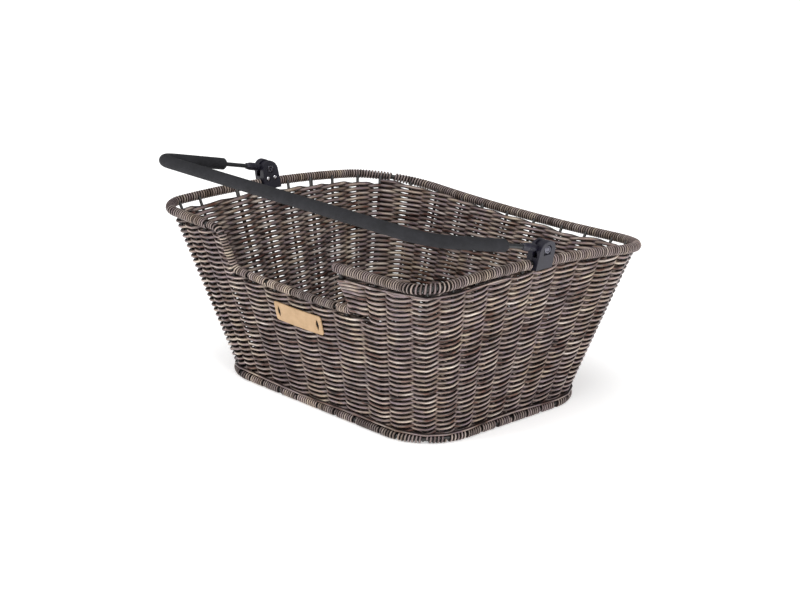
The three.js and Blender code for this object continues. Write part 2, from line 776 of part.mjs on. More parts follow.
const basket = new THREE.Group();
addPiece(basket, "wire_frame", wireFrame, materials.wire);
addPiece(basket, "woven_wall", wovenWall(), materials.weave);
addPiece(basket, "woven_floor", wovenFloor(), materials.weave);
for (const [name, [from, to]] of Object.entries(rimBindings)) {
  addPiece(basket, name, bindingAlong(rim, from, to, rimBinding), materials.binding);
}
addPiece(basket, "dip_binding", dipBinding(), materials.binding);
for (const [name, [from, to]] of Object.entries(baseBindings)) {
  addPiece(basket, name, bindingAlong(base, from, to, baseBinding), materials.binding);
}
addPiece(basket, "label_plate", labelPlate(), materials.label);
addPiece(basket, "label_tie_left", labelTie(-slotMiddle), materials.tie);
addPiece(basket, "label_tie_right", labelTie(slotMiddle), materials.tie);

const handle = new THREE.Group();
handle.position.set(0, pivotY, pivotZ);
handle.rotation.x = -armAngle;
basket.add(handle);
addPiece(handle, "bail_rod", bailRod(), materials.rod);
addPiece(handle, "foam_grip", foamGrip(), materials.foam);

// The left side mirrors the right one.
for (const [side, mirror] of Object.entries({ right: 1, left: -1 })) {
  const fixed = new THREE.Group();
  fixed.scale.x = mirror;
  basket.add(fixed);
  addPiece(fixed, `bracket_inner_${side}`, bracketInner(), materials.plastic);
  addPiece(fixed, `bracket_outer_${side}`, bracketOuter(), materials.plastic);
  addPiece(fixed, `pivot_bolt_${side}`, pivotBolt(), materials.bolt);
  addPiece(fixed, `pivot_nut_${side}`, pivotNut(), materials.bolt);
  addPiece(fixed, `bracket_screw_front_${side}`, bracketScrew(screwYs[0]), materials.screw);
  addPiece(fixed, `bracket_screw_back_${side}`, bracketScrew(screwYs[1]), materials.screw);
  const swinging = new THREE.Group();
  swinging.scale.x = mirror;
  handle.add(swinging);
  addPiece(swinging, `handle_end_${side}`, endFitting(), materials.plastic);
}

export default basket;
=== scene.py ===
# %% [markdown]
# # A woven bicycle basket with a folding handle
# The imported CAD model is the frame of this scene. It gives every real size, and nothing in it is moved.
# Around it this lesson weaves the wall strand by strand, winds the rim and the base, and makes the
# handle, the brackets, the screws and the label, each as a smooth mesh with its own node material.

# %% Load the frame
import math

import bmesh
import bpy
import numpy as np
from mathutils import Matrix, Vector


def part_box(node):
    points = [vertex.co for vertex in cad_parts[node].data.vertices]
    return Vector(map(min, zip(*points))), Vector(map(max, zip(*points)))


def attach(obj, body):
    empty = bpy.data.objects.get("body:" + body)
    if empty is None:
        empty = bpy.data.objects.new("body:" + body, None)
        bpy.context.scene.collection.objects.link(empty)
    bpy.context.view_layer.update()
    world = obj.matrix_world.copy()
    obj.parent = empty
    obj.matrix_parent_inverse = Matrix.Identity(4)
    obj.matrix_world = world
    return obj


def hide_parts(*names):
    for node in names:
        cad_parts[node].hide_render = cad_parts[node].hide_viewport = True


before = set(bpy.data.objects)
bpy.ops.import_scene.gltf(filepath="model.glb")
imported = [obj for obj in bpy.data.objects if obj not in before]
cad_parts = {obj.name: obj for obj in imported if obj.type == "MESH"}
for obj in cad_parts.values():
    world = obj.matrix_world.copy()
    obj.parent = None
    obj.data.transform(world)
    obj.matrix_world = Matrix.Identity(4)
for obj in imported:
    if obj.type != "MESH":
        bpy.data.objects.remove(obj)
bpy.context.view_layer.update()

# %% [markdown]
# ## Camera
# The picture was taken from the front right and a little above, with a long lens. The place and the focal
# length come from fitting the outlines of the rim, the base and the handle, so the camera is set from those
# numbers and not by eye. A long lens keeps the sides of the basket nearly parallel, as in the picture.

# %% Camera
CAMERA_PLACE = Vector((1.69056, -1.53278, 0.82936))
CAMERA_FORWARD = Vector((-0.70560, 0.63954, -0.30515))
CAMERA_SENSOR, CAMERA_LENS = 36, 95.25


def placed(name, data):
    """Puts a mesh, a camera or a lamp into the scene."""
    thing = bpy.data.objects.new(name, data)
    bpy.context.scene.collection.objects.link(thing)
    return thing


def aim(thing, place, direction):
    """Stands a camera or a lamp at a place and turns it to look along a direction."""
    thing.location = place
    thing.rotation_mode = "QUATERNION"
    thing.rotation_quaternion = direction.to_track_quat("-Z", "Y")


camera = placed("camera", bpy.data.cameras.new("camera"))
aim(camera, CAMERA_PLACE, CAMERA_FORWARD)
camera.data.sensor_width, camera.data.lens = CAMERA_SENSOR, CAMERA_LENS
bpy.context.scene.camera = camera
print("camera stands", round(CAMERA_PLACE.length, 2), "m from the origin")

# %% [markdown]
# ## The two rings that everything hangs on
# The basket is built on a wire ring at the rim and a smaller one at the base. Each is four straight sides with
# four round corners. Upright wires, the stakes, are welded inside both rings, and the weave goes round them. So
# one small class that walks round a ring, and one function for the rim's height, give the place of every
# strand. They repeat the sizes of the CAD model, in millimetres, because the strands have to lie on its wires.

# %% Rings
MM = 0.001
RIM_WIRE, BASE_WIRE, DIP_WIRE, STAKE_WIRE, FLOOR_WIRE = 6.0, 5.4, 4.2, 3.5, 4.0
STRAND, WRAP = 3.0, 2.5
RIM_FRONT, RIM_BACK, RIM_HALF_LENGTH, RIM_CORNERS = -168.4, 192.2, 224.5, (32, 78)
RIM_TOP, RIM_FALL, RIM_ARCH, SAG_BACK, SAG_FRONT = 194.6, 23.2, 10.3, 7.3, 5.1
BASE_HALF_LENGTH, BASE_HALF_WIDTH, BASE_CORNER = 176.9, 126.1, 58.4
BASE_LINE = BASE_WIRE / 2 + WRAP
STAKE_INSET = 4.0
CORNER_STEPS = 64


def unit(vectors):
    return vectors / np.linalg.norm(vectors, axis=-1, keepdims=True)


def walked_along(points):
    """How far along a line of points each of them lies."""
    return np.concatenate([[0], np.cumsum(np.linalg.norm(np.diff(points, axis=0), axis=1))])


def read_off(distance, walked, table):
    """What a table with one row per point of a line says at distances along that line."""
    return np.stack([np.interp(distance, walked, column) for column in table.T], axis=-1)


class Ring:
    """A level ring, walked from the middle of the front towards +X."""

    def __init__(self, half_length, front, back, front_corner, back_corner):
        corners = [
            (half_length - front_corner, front + front_corner, front_corner, -90),
            (half_length - back_corner, back - back_corner, back_corner, 0),
            (back_corner - half_length, back - back_corner, back_corner, 90),
            (front_corner - half_length, front + front_corner, front_corner, 180),
        ]
        outline, travel, middles = [(0.0, front)], [(1.0, 0.0)], []
        for x, y, radius, start in corners:
            middles.append(len(outline) + CORNER_STEPS // 2)
            for i in range(CORNER_STEPS + 1):
                angle = math.radians(start + 90 * i / CORNER_STEPS)
                outline.append((x + radius * math.cos(angle), y + radius * math.sin(angle)))
                travel.append((-math.sin(angle), math.cos(angle)))
        outline.append((0.0, front))
        travel.append((1.0, 0.0))
        self.flat, self.travel = np.array(outline), np.array(travel)
        self.walked = walked_along(self.flat)
        self.total = self.walked[-1]
        self.corner_places = self.walked[middles]
        self.sides = np.concatenate([[self.corner_places[3] - self.total], self.corner_places])

    def distance_of(self, place):
        """Distance walked to a place, which counts the four sides from the front left corner."""
        return np.interp(np.asarray(place, float) % 4, np.arange(5), self.sides)

    def pick(self, distance, table):
        return read_off(np.asarray(distance, float) % self.total, self.walked, table)

    def point(self, distance, height, inset=0.0):
        """A point on the ring, or level with it and inside it."""
        flat, travel = self.pick(distance, self.flat), unit(self.pick(distance, self.travel))
        inward = np.stack([-travel[..., 1], travel[..., 0]], axis=-1)
        level = np.broadcast_to(height(flat[..., 0], flat[..., 1]), flat.shape[:-1])
        return np.concatenate([flat + inset * inward, level[..., None]], axis=-1)


def rim_height(x, y):
    """The rim falls towards the back, arches along the sides and sags between its corners."""
    to_back = (y - RIM_FRONT) / (RIM_BACK - RIM_FRONT)
    from_middle = 2 * to_back - 1
    hollow = 1 - (x / RIM_HALF_LENGTH) ** 2
    sides = -RIM_FALL * to_back + RIM_ARCH * (1 - from_middle**2)
    return RIM_TOP + sides - hollow * (SAG_BACK * to_back + SAG_FRONT * (1 - to_back))


rim = Ring(RIM_HALF_LENGTH, RIM_FRONT, RIM_BACK, *RIM_CORNERS)
base = Ring(BASE_HALF_LENGTH, -BASE_HALF_WIDTH, BASE_HALF_WIDTH, BASE_CORNER, BASE_CORNER)


def rim_point(distance, inset=0.0):
    return rim.point(distance, rim_height, inset)


def base_point(distance, inset=0.0):
    return base.point(distance, lambda x, y: BASE_LINE, inset)


print("rim ring", round(rim.total), "mm round, base ring", round(base.total), "mm")

# %% [markdown]
# ## Stakes
# The stakes stand at uneven distances, as a frame for hand weaving does, and closer at the corners. A list gives
# the place of each along the four sides. Between two stakes a strand is pulled straight, so the wall is a row of
# flat panels. A number that counts stakes, with its fraction for the way to the next one, names any place on it.

# %% Stakes
FRONT_STAKES = [0.04, 0.099, 0.157, 0.23, 0.318, 0.41, 0.52, 0.607, 0.708, 0.829, 0.906]
RIGHT_STAKES = [1, 1.1, 1.2, 1.3, 1.4, 1.5, 1.6, 1.7, 1.8, 1.9]
BACK_STAKES = [2, 2.07, 2.141, 2.238, 2.329, 2.436, 2.543, 2.645, 2.73, 2.837, 2.939]
LEFT_STAKES = [3.044, 3.139, 3.261, 3.362, 3.468, 3.59, 3.697, 3.86, 3.95]
STAKE_PLACES = np.array(FRONT_STAKES + RIGHT_STAKES + BACK_STAKES + LEFT_STAKES)
STAKES = len(STAKE_PLACES)
WIDE_STAKES = (2.645, 3.044, 3.362, 3.697)
feet = base_point(base.distance_of(STAKE_PLACES), STAKE_INSET)
heads = rim_point(rim.distance_of(STAKE_PLACES), STAKE_INSET)


def stake_outwards():
    """For each stake the direction that halves the angle between the panels beside it, at foot and head."""
    rise = unit(heads - feet)
    found = []
    for ends in (feet, heads):
        ahead = unit(np.roll(ends, -1, 0) - ends)
        found.append(unit(np.cross(ahead + np.roll(ahead, 1, 0), rise)))
    return found


foot_outward, head_outward = stake_outwards()


def between(table, walk):
    """Values of a table with one row per stake, at places between the stakes."""
    before = np.floor(walk).astype(int)
    t = (walk - before)[:, None]
    return table[before % STAKES] * (1 - t) + table[(before + 1) % STAKES] * t


def wall_point(walk, share):
    """A place on the wall's middle surface: how many stakes on, and what share of the slant up."""
    walk, share = np.asarray(walk, float), np.asarray(share, float)[..., None]
    return between(feet, walk) * (1 - share) + between(heads, walk) * share


def wall_frame(walk, share):
    """Point, outward direction and direction up the slant."""
    up = np.asarray(share, float)[..., None]
    outward = unit(between(foot_outward, walk) * (1 - up) + between(head_outward, walk) * up)
    return wall_point(walk, share), outward, unit(between(heads, walk) - between(feet, walk))


def slant_of(walk):
    """Length of the wall's slant, from the foot to the head of a stake."""
    return np.linalg.norm(between(heads, walk) - between(feet, walk), axis=-1)


print(STAKES, "stakes, bays of", np.round(np.diff(STAKE_PLACES).min() * rim.total / 4), "to",
      np.round(np.diff(STAKE_PLACES).max() * rim.total / 4), "mm")

# %% [markdown]
# ## The dip in the front
# The front of the rim dips so that the basket clears the saddle. A thinner wire bends down from the rim wire on
# both sides and runs level between. Its outline has four corners, each rounded with a short curve. It is drawn
# just inside the rings' own surface.

# %% Dip outline
DIP_LEFT = [(-133.0, None), (-113.0, None), (-100.0, 144.0)]
DIP_RIGHT = [(101.0, 143.5), (88.0, None), (108.0, None)]
DIP_SAG, DIP_BEND, DIP_INSET, BEND_STEPS = 2.6, 9.5, 0.9, 9


def front_y(x, z, inset):
    share = (z - BASE_LINE) / (rim_height(x, RIM_FRONT) - BASE_LINE)
    return -BASE_HALF_WIDTH + (RIM_FRONT + BASE_HALF_WIDTH) * share + inset


def dip_outline():
    """The dip's wire seen from the front, as X and Z, and the level rail of it alone."""
    at_rim = lambda pair: (pair[0], rim_height(pair[0], RIM_FRONT) if pair[1] is None else pair[1])
    start, top_left, foot_left = [np.array(at_rim(p)) for p in DIP_LEFT]
    foot_right, top_right, end = [np.array(at_rim(p)) for p in DIP_RIGHT]
    share = np.linspace(0, 1, 13)
    rail = foot_left + (foot_right - foot_left) * share[:, None]
    rail[:, 1] -= 4 * DIP_SAG * share * (1 - share)

    def bend(before, corner, after):
        entry = corner + (before - corner) / np.linalg.norm(before - corner) * DIP_BEND
        leave = corner + (after - corner) / np.linalg.norm(after - corner) * DIP_BEND
        t = np.linspace(0, 1, BEND_STEPS)[:, None]
        return (1 - t) ** 2 * entry + 2 * t * (1 - t) * corner + t**2 * leave

    bends = [bend(start, top_left, foot_left), bend(top_left, rail[0], rail[1])]
    bends += [bend(rail[-2], rail[-1], top_right), bend(rail[-1], top_right, end)]
    return np.concatenate([[start], *bends[:2], rail[1:-1], *bends[2:], [end]]), rail


dip_flat, rail_flat = dip_outline()
dip_x, dip_z = dip_flat.T
dip_line = np.stack([dip_x, front_y(dip_x, dip_z, DIP_INSET), dip_z], axis=-1)
front_slant = [0.0, RIM_FRONT + BASE_HALF_WIDTH, rim_height(0, RIM_FRONT) - BASE_LINE]
FRONT_OUT = unit(np.cross([1.0, 0, 0], front_slant))
FRONT_UP = np.cross(FRONT_OUT, [1.0, 0, 0])
RAIL_LOWEST = float(rail_flat[:, 1].min())


def leg_x(height, right):
    """X of the dip's wire at a height, on its left or right leg."""
    foot, top = (DIP_RIGHT[0], DIP_RIGHT[1]) if right else (DIP_LEFT[2], DIP_LEFT[1])
    return float(np.interp(height, [foot[1], rim_height(top[0], RIM_FRONT)], [foot[0], top[0]]))


print("dip line:", len(dip_line), "points, rail at its lowest", round(RAIL_LOWEST, 1), "mm up")

# %% [markdown]
# ## One tube for every strand and wire
# Strands, wires, windings and the grip are all tubes along a line. A curve object with a round bevel would do,
# but a tube made point by point can also carry, on each of its points, how far along the strand it lies, which
# strand it belongs to and which of its sides lies open. The material reads those. Every tube is closed at its
# ends, so each mesh is a real solid.

# %% Tubes
TIP = 0.3


def finished(name, mesh, material):
    """Gives a mesh its material and puts it into the scene."""
    mesh.materials.append(material)
    print(name, "has", len(mesh.polygons), "faces")
    return placed(name, mesh)


class Skein:
    """Collects tubes and turns them into one mesh."""

    def __init__(self):
        self.points, self.quads, self.lay, self.tone, self.seat = [], [], [], [], []
        self.count = 0

    def tube(self, line, radius, sides, reference, flatten=1.0, looped=False, tone=0.5, seat=1.0):
        """line: points in mm. reference: a direction that one side of the tube faces. flatten: thickness along
        the reference as a share of the width. seat: 1 where the side that faces the reference lies open, -1
        where the other side does."""
        line = np.asarray(line, float)
        count = len(line)
        travel = unit(np.roll(line, -1, 0) - np.roll(line, 1, 0) if looped else np.gradient(line, axis=0))
        side = unit(np.cross(travel, np.broadcast_to(reference, line.shape)))
        face = np.cross(side, travel)
        radius, thin, seat = (np.broadcast_to(value, (count,)) for value in (radius, flatten, seat))
        here = np.arange(sides)
        after = (here + 1) % sides
        angle = 2 * np.pi * here[:, None] / sides
        out = np.cos(angle) * side[:, None, :] + thin[:, None, None] * np.sin(angle) * face[:, None, :]
        points = (line[:, None, :] + out * radius[:, None, None]).reshape(-1, 3)
        rows = np.arange(count if looped else count - 1)[:, None] * sides
        ahead = (rows + sides) % (count * sides)
        quads = np.stack([rows + here, rows + after, ahead + after, ahead + here], axis=-1).reshape(-1, 4)
        walked = walked_along(line) * MM
        lay = np.empty((count, sides, 3))
        lay[..., 0], lay[..., 1:] = walked[:, None], np.concatenate([np.cos(angle), np.sin(angle)], axis=1)
        lay = lay.reshape(-1, 3)
        if not looped:
            tips = [line[0] - travel[0] * radius[0] * TIP, line[-1] + travel[-1] * radius[-1] * TIP]
            points = np.concatenate([points, tips])
            lay = np.concatenate([lay, [[walked[0], 0, 0], [walked[-1], 0, 0]]])
            none, end = np.full(sides, -1), (count - 1) * sides
            head = np.stack([after, here, np.full(sides, count * sides), none], axis=-1)
            foot = np.stack([end + here, end + after, np.full(sides, count * sides + 1), none], axis=-1)
            quads = np.concatenate([quads, head, foot])
        self.points.append(points)
        self.quads.append(np.where(quads < 0, -1, quads + self.count))
        self.lay.append(lay)
        self.tone.append(np.full(len(points), float(tone)))
        self.seat.append(np.append(np.repeat(seat, sides), np.zeros(len(points) - count * sides)))
        self.count += len(points)

    def build(self, name, material):
        points, quads = np.concatenate(self.points) * MM, np.concatenate(self.quads)
        corners, sizes = quads[quads >= 0], (quads >= 0).sum(axis=1)
        mesh = bpy.data.meshes.new(name)
        mesh.vertices.add(len(points))
        mesh.vertices.foreach_set("co", points.astype(np.float32).ravel())
        mesh.loops.add(len(corners))
        mesh.loops.foreach_set("vertex_index", corners.astype(np.int32))
        mesh.polygons.add(len(quads))
        mesh.polygons.foreach_set("loop_start", np.append(0, np.cumsum(sizes)[:-1]).astype(np.int32))
        mesh.update(calc_edges=True)
        for key in ("lay", "tone", "seat"):
            kind, field = ("FLOAT_VECTOR", "vector") if key == "lay" else ("FLOAT", "value")
            values = np.concatenate(getattr(self, key)).astype(np.float32).ravel()
            mesh.attributes.new(key, kind, "POINT").data.foreach_set(field, values)
        mesh.shade_smooth()
        return finished(name, mesh, material)


def stands_for(piece, body, slot, *nodes):
    """The piece rides on its body and takes the place of CAD nodes."""
    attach(piece, body)
    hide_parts(*nodes)
    return piece


# %% [markdown]
# ## Materials
# Every finish is a small node tree. A small class keeps the trees short: it makes a material around a Principled
# shader and adds nodes with their settings. Values that are the same all over are set on the shader.

# %% Material helpers
class Finish:
    """A material under construction."""

    def __init__(self, name, roughness, metallic=0.0, specular=0.5):
        self.material = bpy.data.materials.new(name)
        self.material.use_nodes = True
        self.tree = self.material.node_tree
        self.shader = self.tree.nodes["Principled BSDF"]
        self.set("Roughness", roughness)
        self.set("Metallic", metallic)
        self.set("Specular IOR Level", specular)

    def set(self, socket, value):
        self.shader.inputs[socket].default_value = value

    def link(self, source, socket):
        self.tree.links.new(source, self.shader.inputs[socket])

    def node(self, kind, links=None, **values):
        made = self.tree.nodes.new(kind)
        for key, value in values.items():
            setattr(made, key, value)
        for key, source in (links or {}).items():
            if isinstance(source, bpy.types.NodeSocket):
                self.tree.links.new(source, made.inputs[key])
            else:
                made.inputs[key].default_value = source
        return made

    def place(self):
        return self.node("ShaderNodeTexCoord").outputs["Object"]

    def carried(self, name, output="Fac"):
        """What the points of a tube carry under a name."""
        return self.node("ShaderNodeAttribute", attribute_name=name).outputs[output]

    def reckon(self, operation, *values):
        return self.node("ShaderNodeMath", dict(enumerate(values)), operation=operation).outputs[0]

    def stretched(self, vector, scale):
        return self.node("ShaderNodeVectorMath", {0: vector, 1: scale}, operation="MULTIPLY").outputs[0]

    def noise(self, vector, scale, detail, roughness, w=None):
        links = {"Vector": vector, "Scale": scale, "Detail": detail, "Roughness": roughness}
        if w is not None:
            links["W"] = w
        dimensions = "3D" if w is None else "4D"
        return self.node("ShaderNodeTexNoise", links, noise_dimensions=dimensions).outputs["Fac"]

    def pores(self, vector, scale):
        return self.node("ShaderNodeTexVoronoi", {"Vector": vector, "Scale": scale}).outputs["Distance"]

    def ramp(self, value, stops):
        made = self.node("ShaderNodeValToRGB", {"Fac": value})
        band = made.color_ramp
        while len(band.elements) < len(stops):
            band.elements.new(0.5)
        for element, (place, colour) in zip(band.elements, stops):
            element.position = place
            element.color = (*colour, 1)
        return made.outputs["Color"]

    def mix(self, share, first, second, blend="MIX"):
        links = {0: share, 6: first, 7: second}
        return self.node("ShaderNodeMix", links, data_type="RGBA", blend_type=blend).outputs[2]

    def spread(self, value, low, high, from_low=0.0, from_high=1.0):
        links = {"Value": value, "From Min": from_low, "From Max": from_high, "To Min": low, "To Max": high}
        return self.node("ShaderNodeMapRange", links).outputs["Result"]

    def bump(self, height, strength, distance):
        made = self.node("ShaderNodeBump", {"Height": height, "Strength": strength, "Distance": distance})
        self.link(made.outputs["Normal"], "Normal")


# %% [markdown]
# ## Plastic rattan
# The strands are extruded plastic, coloured to look like grey-brown willow. Along one strand the colour drifts
# between dark brown, mauve-grey and a light tan over a few centimetres, and thin lighter and darker streaks run
# lengthwise. The noise is read in the strand's own lay, stretched along it, so it never cuts across a strand.
# Painted shade darkens each strand along its two edges and leaves its crest at full colour, and more painted
# shade darkens the side that lies on its neighbours. Whole groups of turns in a binding are dark, and the basket
# has warmer and colder zones.

# %% Rattan
# Painted shade across a strand: dark at its two edges, full colour on its crest.
EDGE_SHADE_TO_CREST = [
    (0.0, (0.01, 0.01, 0.01)), (0.5, (0.06, 0.05, 0.05)), (0.85, (0.55, 0.54, 0.54)), (1.0, (1, 1, 1)),
]
ZONES = [(0.36, (0.68, 0.65, 0.69)), (0.5, (1.0, 0.99, 1.0)), (0.64, (1.0, 0.97, 0.87))]
STRAND_SEEDS = 57.0


def rattan(name, palette, streak_light, streak_and_shade_dark, roughness, dark_groups=0.0):
    """dark_groups: how dark a tube of tone 0 gets. One of tone 1 stays as it is."""
    f = Finish(name, roughness, specular=0.3)
    lay, tone = f.carried("lay", "Vector"), f.carried("tone")
    seed = f.reckon("MULTIPLY", tone, STRAND_SEEDS)
    colour = f.ramp(f.noise(f.stretched(lay, (1.0, 0.012, 0.012)), 30.0, 2.0, 0.6, seed), palette)
    if dark_groups:
        colour = f.mix(f.spread(tone, dark_groups, 0.0), colour, (*streak_and_shade_dark, 1))
    light = f.noise(f.stretched(lay, (22.0, 1.5, 1.5)), 1.0, 3.0, 0.6, seed)
    colour = f.mix(f.spread(light, 0.0, 0.75, 0.54, 0.70), colour, (*streak_light, 1))
    dark = f.noise(f.stretched(lay, (34.0, 2.3, 2.3)), 1.3, 3.0, 0.65, seed)
    colour = f.mix(f.spread(dark, 0.8, 0.0, 0.34, 0.46), colour, (*streak_and_shade_dark, 1))
    # Painted shade: each strand darkens towards its two edges and keeps its full colour on its crest.
    across = f.node("ShaderNodeSeparateXYZ", {"Vector": lay}).outputs["Z"]
    colour = f.mix(1.0, colour, f.ramp(f.reckon("ABSOLUTE", across), EDGE_SHADE_TO_CREST), "MULTIPLY")
    # Painted shade: the side of a strand that lies on its neighbours is darkened towards the dark streak colour,
    # the open side is not.
    opened = f.reckon("MULTIPLY", across, f.carried("seat"))
    colour = f.mix(f.spread(opened, 0.9, 0.0, -0.5, 0.45), colour, (*streak_and_shade_dark, 1))
    colour = f.mix(1.0, colour, f.ramp(f.noise(f.place(), 26.0, 2.0, 0.6), ZONES), "MULTIPLY")
    f.link(colour, "Base Color")
    f.link(f.spread(light, roughness - 0.1, roughness + 0.12), "Roughness")
    f.bump(dark, 0.35, 0.0004)
    return f.material


RATTAN_DRIFT = [
    (0.32, (0.030, 0.015, 0.012)), (0.39, (0.200, 0.095, 0.074)), (0.45, (0.280, 0.225, 0.185)),
    (0.50, (0.350, 0.265, 0.295)), (0.55, (0.470, 0.345, 0.280)), (0.61, (0.590, 0.500, 0.420)),
    (0.69, (0.900, 0.790, 0.710)),
]
BINDING_DRIFT = [
    (0.33, (0.140, 0.090, 0.075)), (0.43, (0.400, 0.310, 0.265)), (0.52, (0.560, 0.440, 0.440)),
    (0.60, (0.760, 0.620, 0.510)), (0.68, (0.950, 0.830, 0.720)),
]
weave_finish = rattan("plastic_rattan", RATTAN_DRIFT, (0.85, 0.74, 0.67), (0.030, 0.018, 0.015), 0.36)
binding_finish = rattan("binding_rattan", BINDING_DRIFT, (0.90, 0.80, 0.71), (0.045, 0.030, 0.026), 0.34,
                        dark_groups=0.62)
print("rattan drifts over", len(RATTAN_DRIFT), "shades")

# %% [markdown]
# ## Painted wire
# The frame is steel wire with black paint. It shows between the rim and the first row of weave and through the
# slits beside the stakes. One fine noise breaks up its colour and its gloss, as paint on drawn wire does. The
# same function makes the handle's rod and, with other settings, the plated bolts.

# %% Wire finish
PAINT = {"scale": 260.0, "detail": 4.0, "light_from": 0.7, "bump": (0.15, 0.0002)}


def mottled(name, dark, light, roughness, scale, detail, light_from, bump, metallic=0.0):
    """Painted or plated metal, whose colour and gloss one fine noise breaks up."""
    f = Finish(name, roughness, metallic)
    mottle = f.noise(f.place(), scale, detail, 0.6)
    f.link(f.ramp(mottle, [(0.35, dark), (light_from, light)]), "Base Color")
    f.link(f.spread(mottle, roughness - 0.08, roughness + 0.12), "Roughness")
    f.bump(mottle, *bump)
    print(name, "has", len(f.tree.nodes), "nodes")
    return f.material


wire_finish = mottled("painted_wire", (0.012, 0.011, 0.011), (0.030, 0.028, 0.026), 0.42, **PAINT)

# %% [markdown]
# ## Wire frame
# Wires with a few flat sides are enough for the CAD model, but the flats would show here, so they are drawn
# again as round tubes: the ring at the rim, the thinner wire of the dip, the ring at the base, the stakes and
# the floor wires. Four stakes are broad, and their tubes are as thick as the others but half as wide again.

# %% Wire frame
UP = np.array([0.0, 0, 1])
BROADER, FLOOR_PITCH = 1.45, 35.0
wires = Skein()
rim_end = DIP_LEFT[0][0] + rim.total
rim_run = np.append(np.arange(DIP_RIGHT[2][0], rim_end, 3.0), rim_end)
wires.tube(rim_point(rim_run), RIM_WIRE / 2, 12, UP)
wires.tube(dip_line, DIP_WIRE / 2, 12, FRONT_OUT)
wires.tube(base_point(np.linspace(0, base.total, 240, endpoint=False)), BASE_WIRE / 2, 12, UP, looped=True)
for stake, place in enumerate(STAKE_PLACES):
    ends = np.array([feet[stake], heads[stake]])
    x = ends[:, 0]
    if place < 1 and leg_x(RAIL_LOWEST, False) < x[1] < leg_x(RAIL_LOWEST, True):
        share = np.linspace(0, 1, 200)
        upright = ends[0] + (ends[1] - ends[0]) * share[:, None]
        rail = np.interp(upright[:, 0], rail_flat[:, 0], rail_flat[:, 1])
        ends[1] = upright[(upright[:, 2] > rail).argmax()]
    broad = BROADER if place in WIDE_STAKES else 1.0
    outward = unit(foot_outward[stake] + head_outward[stake])
    wires.tube(ends, broad * STAKE_WIRE / 2, 12, outward, flatten=1 / broad)


def base_reach(beside, half_across, half_along):
    """How far along the base ring reaches, at a place beside its middle line."""
    past = max(abs(beside) - (half_across - BASE_CORNER), 0)
    return half_along - BASE_CORNER + math.sqrt(BASE_CORNER**2 - past**2)


FLOOR_LEVEL = FLOOR_WIRE / 2 + STRAND
for x in [FLOOR_PITCH * i for i in range(-4, 5)]:
    edge = base_reach(x, BASE_HALF_LENGTH, BASE_HALF_WIDTH)
    wires.tube([(x, y, FLOOR_LEVEL) for y in (-edge, 0, edge)], FLOOR_WIRE / 2, 10, UP)
stands_for(wires.build("round_wire_frame", wire_finish), "basket", "wire", "wire_frame")

# %% [markdown]
# ## The weave
# The wall is twined: in every row two strands run together, one in front of a stake and one behind it, and they
# cross between stakes. Seen along the row each strand is a flattened spring, half a turn for every stake. So the
# line of a strand is the middle surface of the wall, plus a swing outwards (cosine) and a swing up and down
# (sine). The strands are stiff: each lies nearly level at a stake and crosses quickly between two, which HOLD
# does to the angle, and sags a little in front of the stake. The rows are one long pair of strands. It climbs
# one row on the back and runs level elsewhere.

# %% Weave lines
ROWS, FIRST_ROW, LAST_ROW, TOP_RISE = 30, 8.0, 12.2, 2.6
SWING_OUT, SWING_UP = STAKE_WIRE / 2 + STRAND / 2, 1.55
HOLD, OUTER_SAG = 0.6, 0.2
SEAM, CLIMB_FROM = 32, 0.8
BAY_STEPS = np.array([0, 0.16, 0.29, 0.4, 0.5, 0.6, 0.71, 0.84])
WANDER, LOOSE_FROM, LOOSER = 0.22, 0.85, 8
DIP_ROOM = DIP_WIRE / 2 + WRAP + STRAND / 2 + SWING_UP + 0.2
rng = np.random.default_rng(7)
waves = [
    (rng.integers(4, 21), rng.uniform(2, 7), rng.uniform(0, 6.28), rng.uniform(0, 6.28)) for _ in range(9)
]


def wander(walk, share):
    """A slow unevenness of the rows, in mm up the slant. The top rows are looser."""
    around = 2 * np.pi * walk / STAKES
    uneven = sum(np.sin(n * around + a) * np.sin(up * np.pi * share + b) for n, up, a, b in waves)
    return WANDER * (1 + np.clip(share - LOOSE_FROM, 0, 1) * LOOSER) * uneven


def row_share(walk):
    """Height of the strand pair as a share of the slant, for stakes counted on from the seam. On the right and
    the back the top rows come a little closer to the rim."""
    rows = (walk - SEAM) / STAKES
    whole = np.floor(rows + 1e-9)
    climb = np.clip((rows - whole - CLIMB_FROM) / (1 - CLIMB_FROM), 0, 1)
    level = whole + climb * climb * (3 - 2 * climb)
    slant = slant_of(walk)
    around = np.mod(walk, STAKES)
    closer = TOP_RISE * np.clip((around - 14) / 3, 0, 1) * np.clip((31 - around) / 2, 0, 1)
    return (FIRST_ROW + level * (slant - FIRST_ROW - LAST_ROW + closer) / (ROWS - 1)) / slant


def strand_line(walk, swing, turn=None):
    """Points of one strand, the outward direction at each, and how far out it lies, from 1 to -1. turn counts
    the half turns of the twist."""
    turn = walk if turn is None else turn
    share = row_share(walk)
    middle, outward, rise = wall_frame(walk, share)
    angle = np.pi * turn - HOLD / 2 * np.sin(2 * np.pi * turn)
    seat = swing * np.cos(angle)
    up = swing * SWING_UP * np.sin(angle) - OUTER_SAG * np.clip(seat, 0, 1) ** 2 + wander(walk, share)
    return middle + outward * (SWING_OUT * seat)[:, None] + rise * up[:, None], outward, seat


def bays(first, last):
    """Walk numbers from one stake to another, with more points near the stakes."""
    return np.append((np.arange(first, last)[:, None] + BAY_STEPS).ravel(), float(last))


def front_at(row, x):
    """How many stakes on a row passes an X position of the front, and its height there."""
    walk = STAKES * (row + 1) + np.linspace(0, 10, 400)
    points = wall_point(walk, row_share(walk))
    return [float(np.interp(x, points[:, 0], values)) for values in (walk, points[:, 2])]


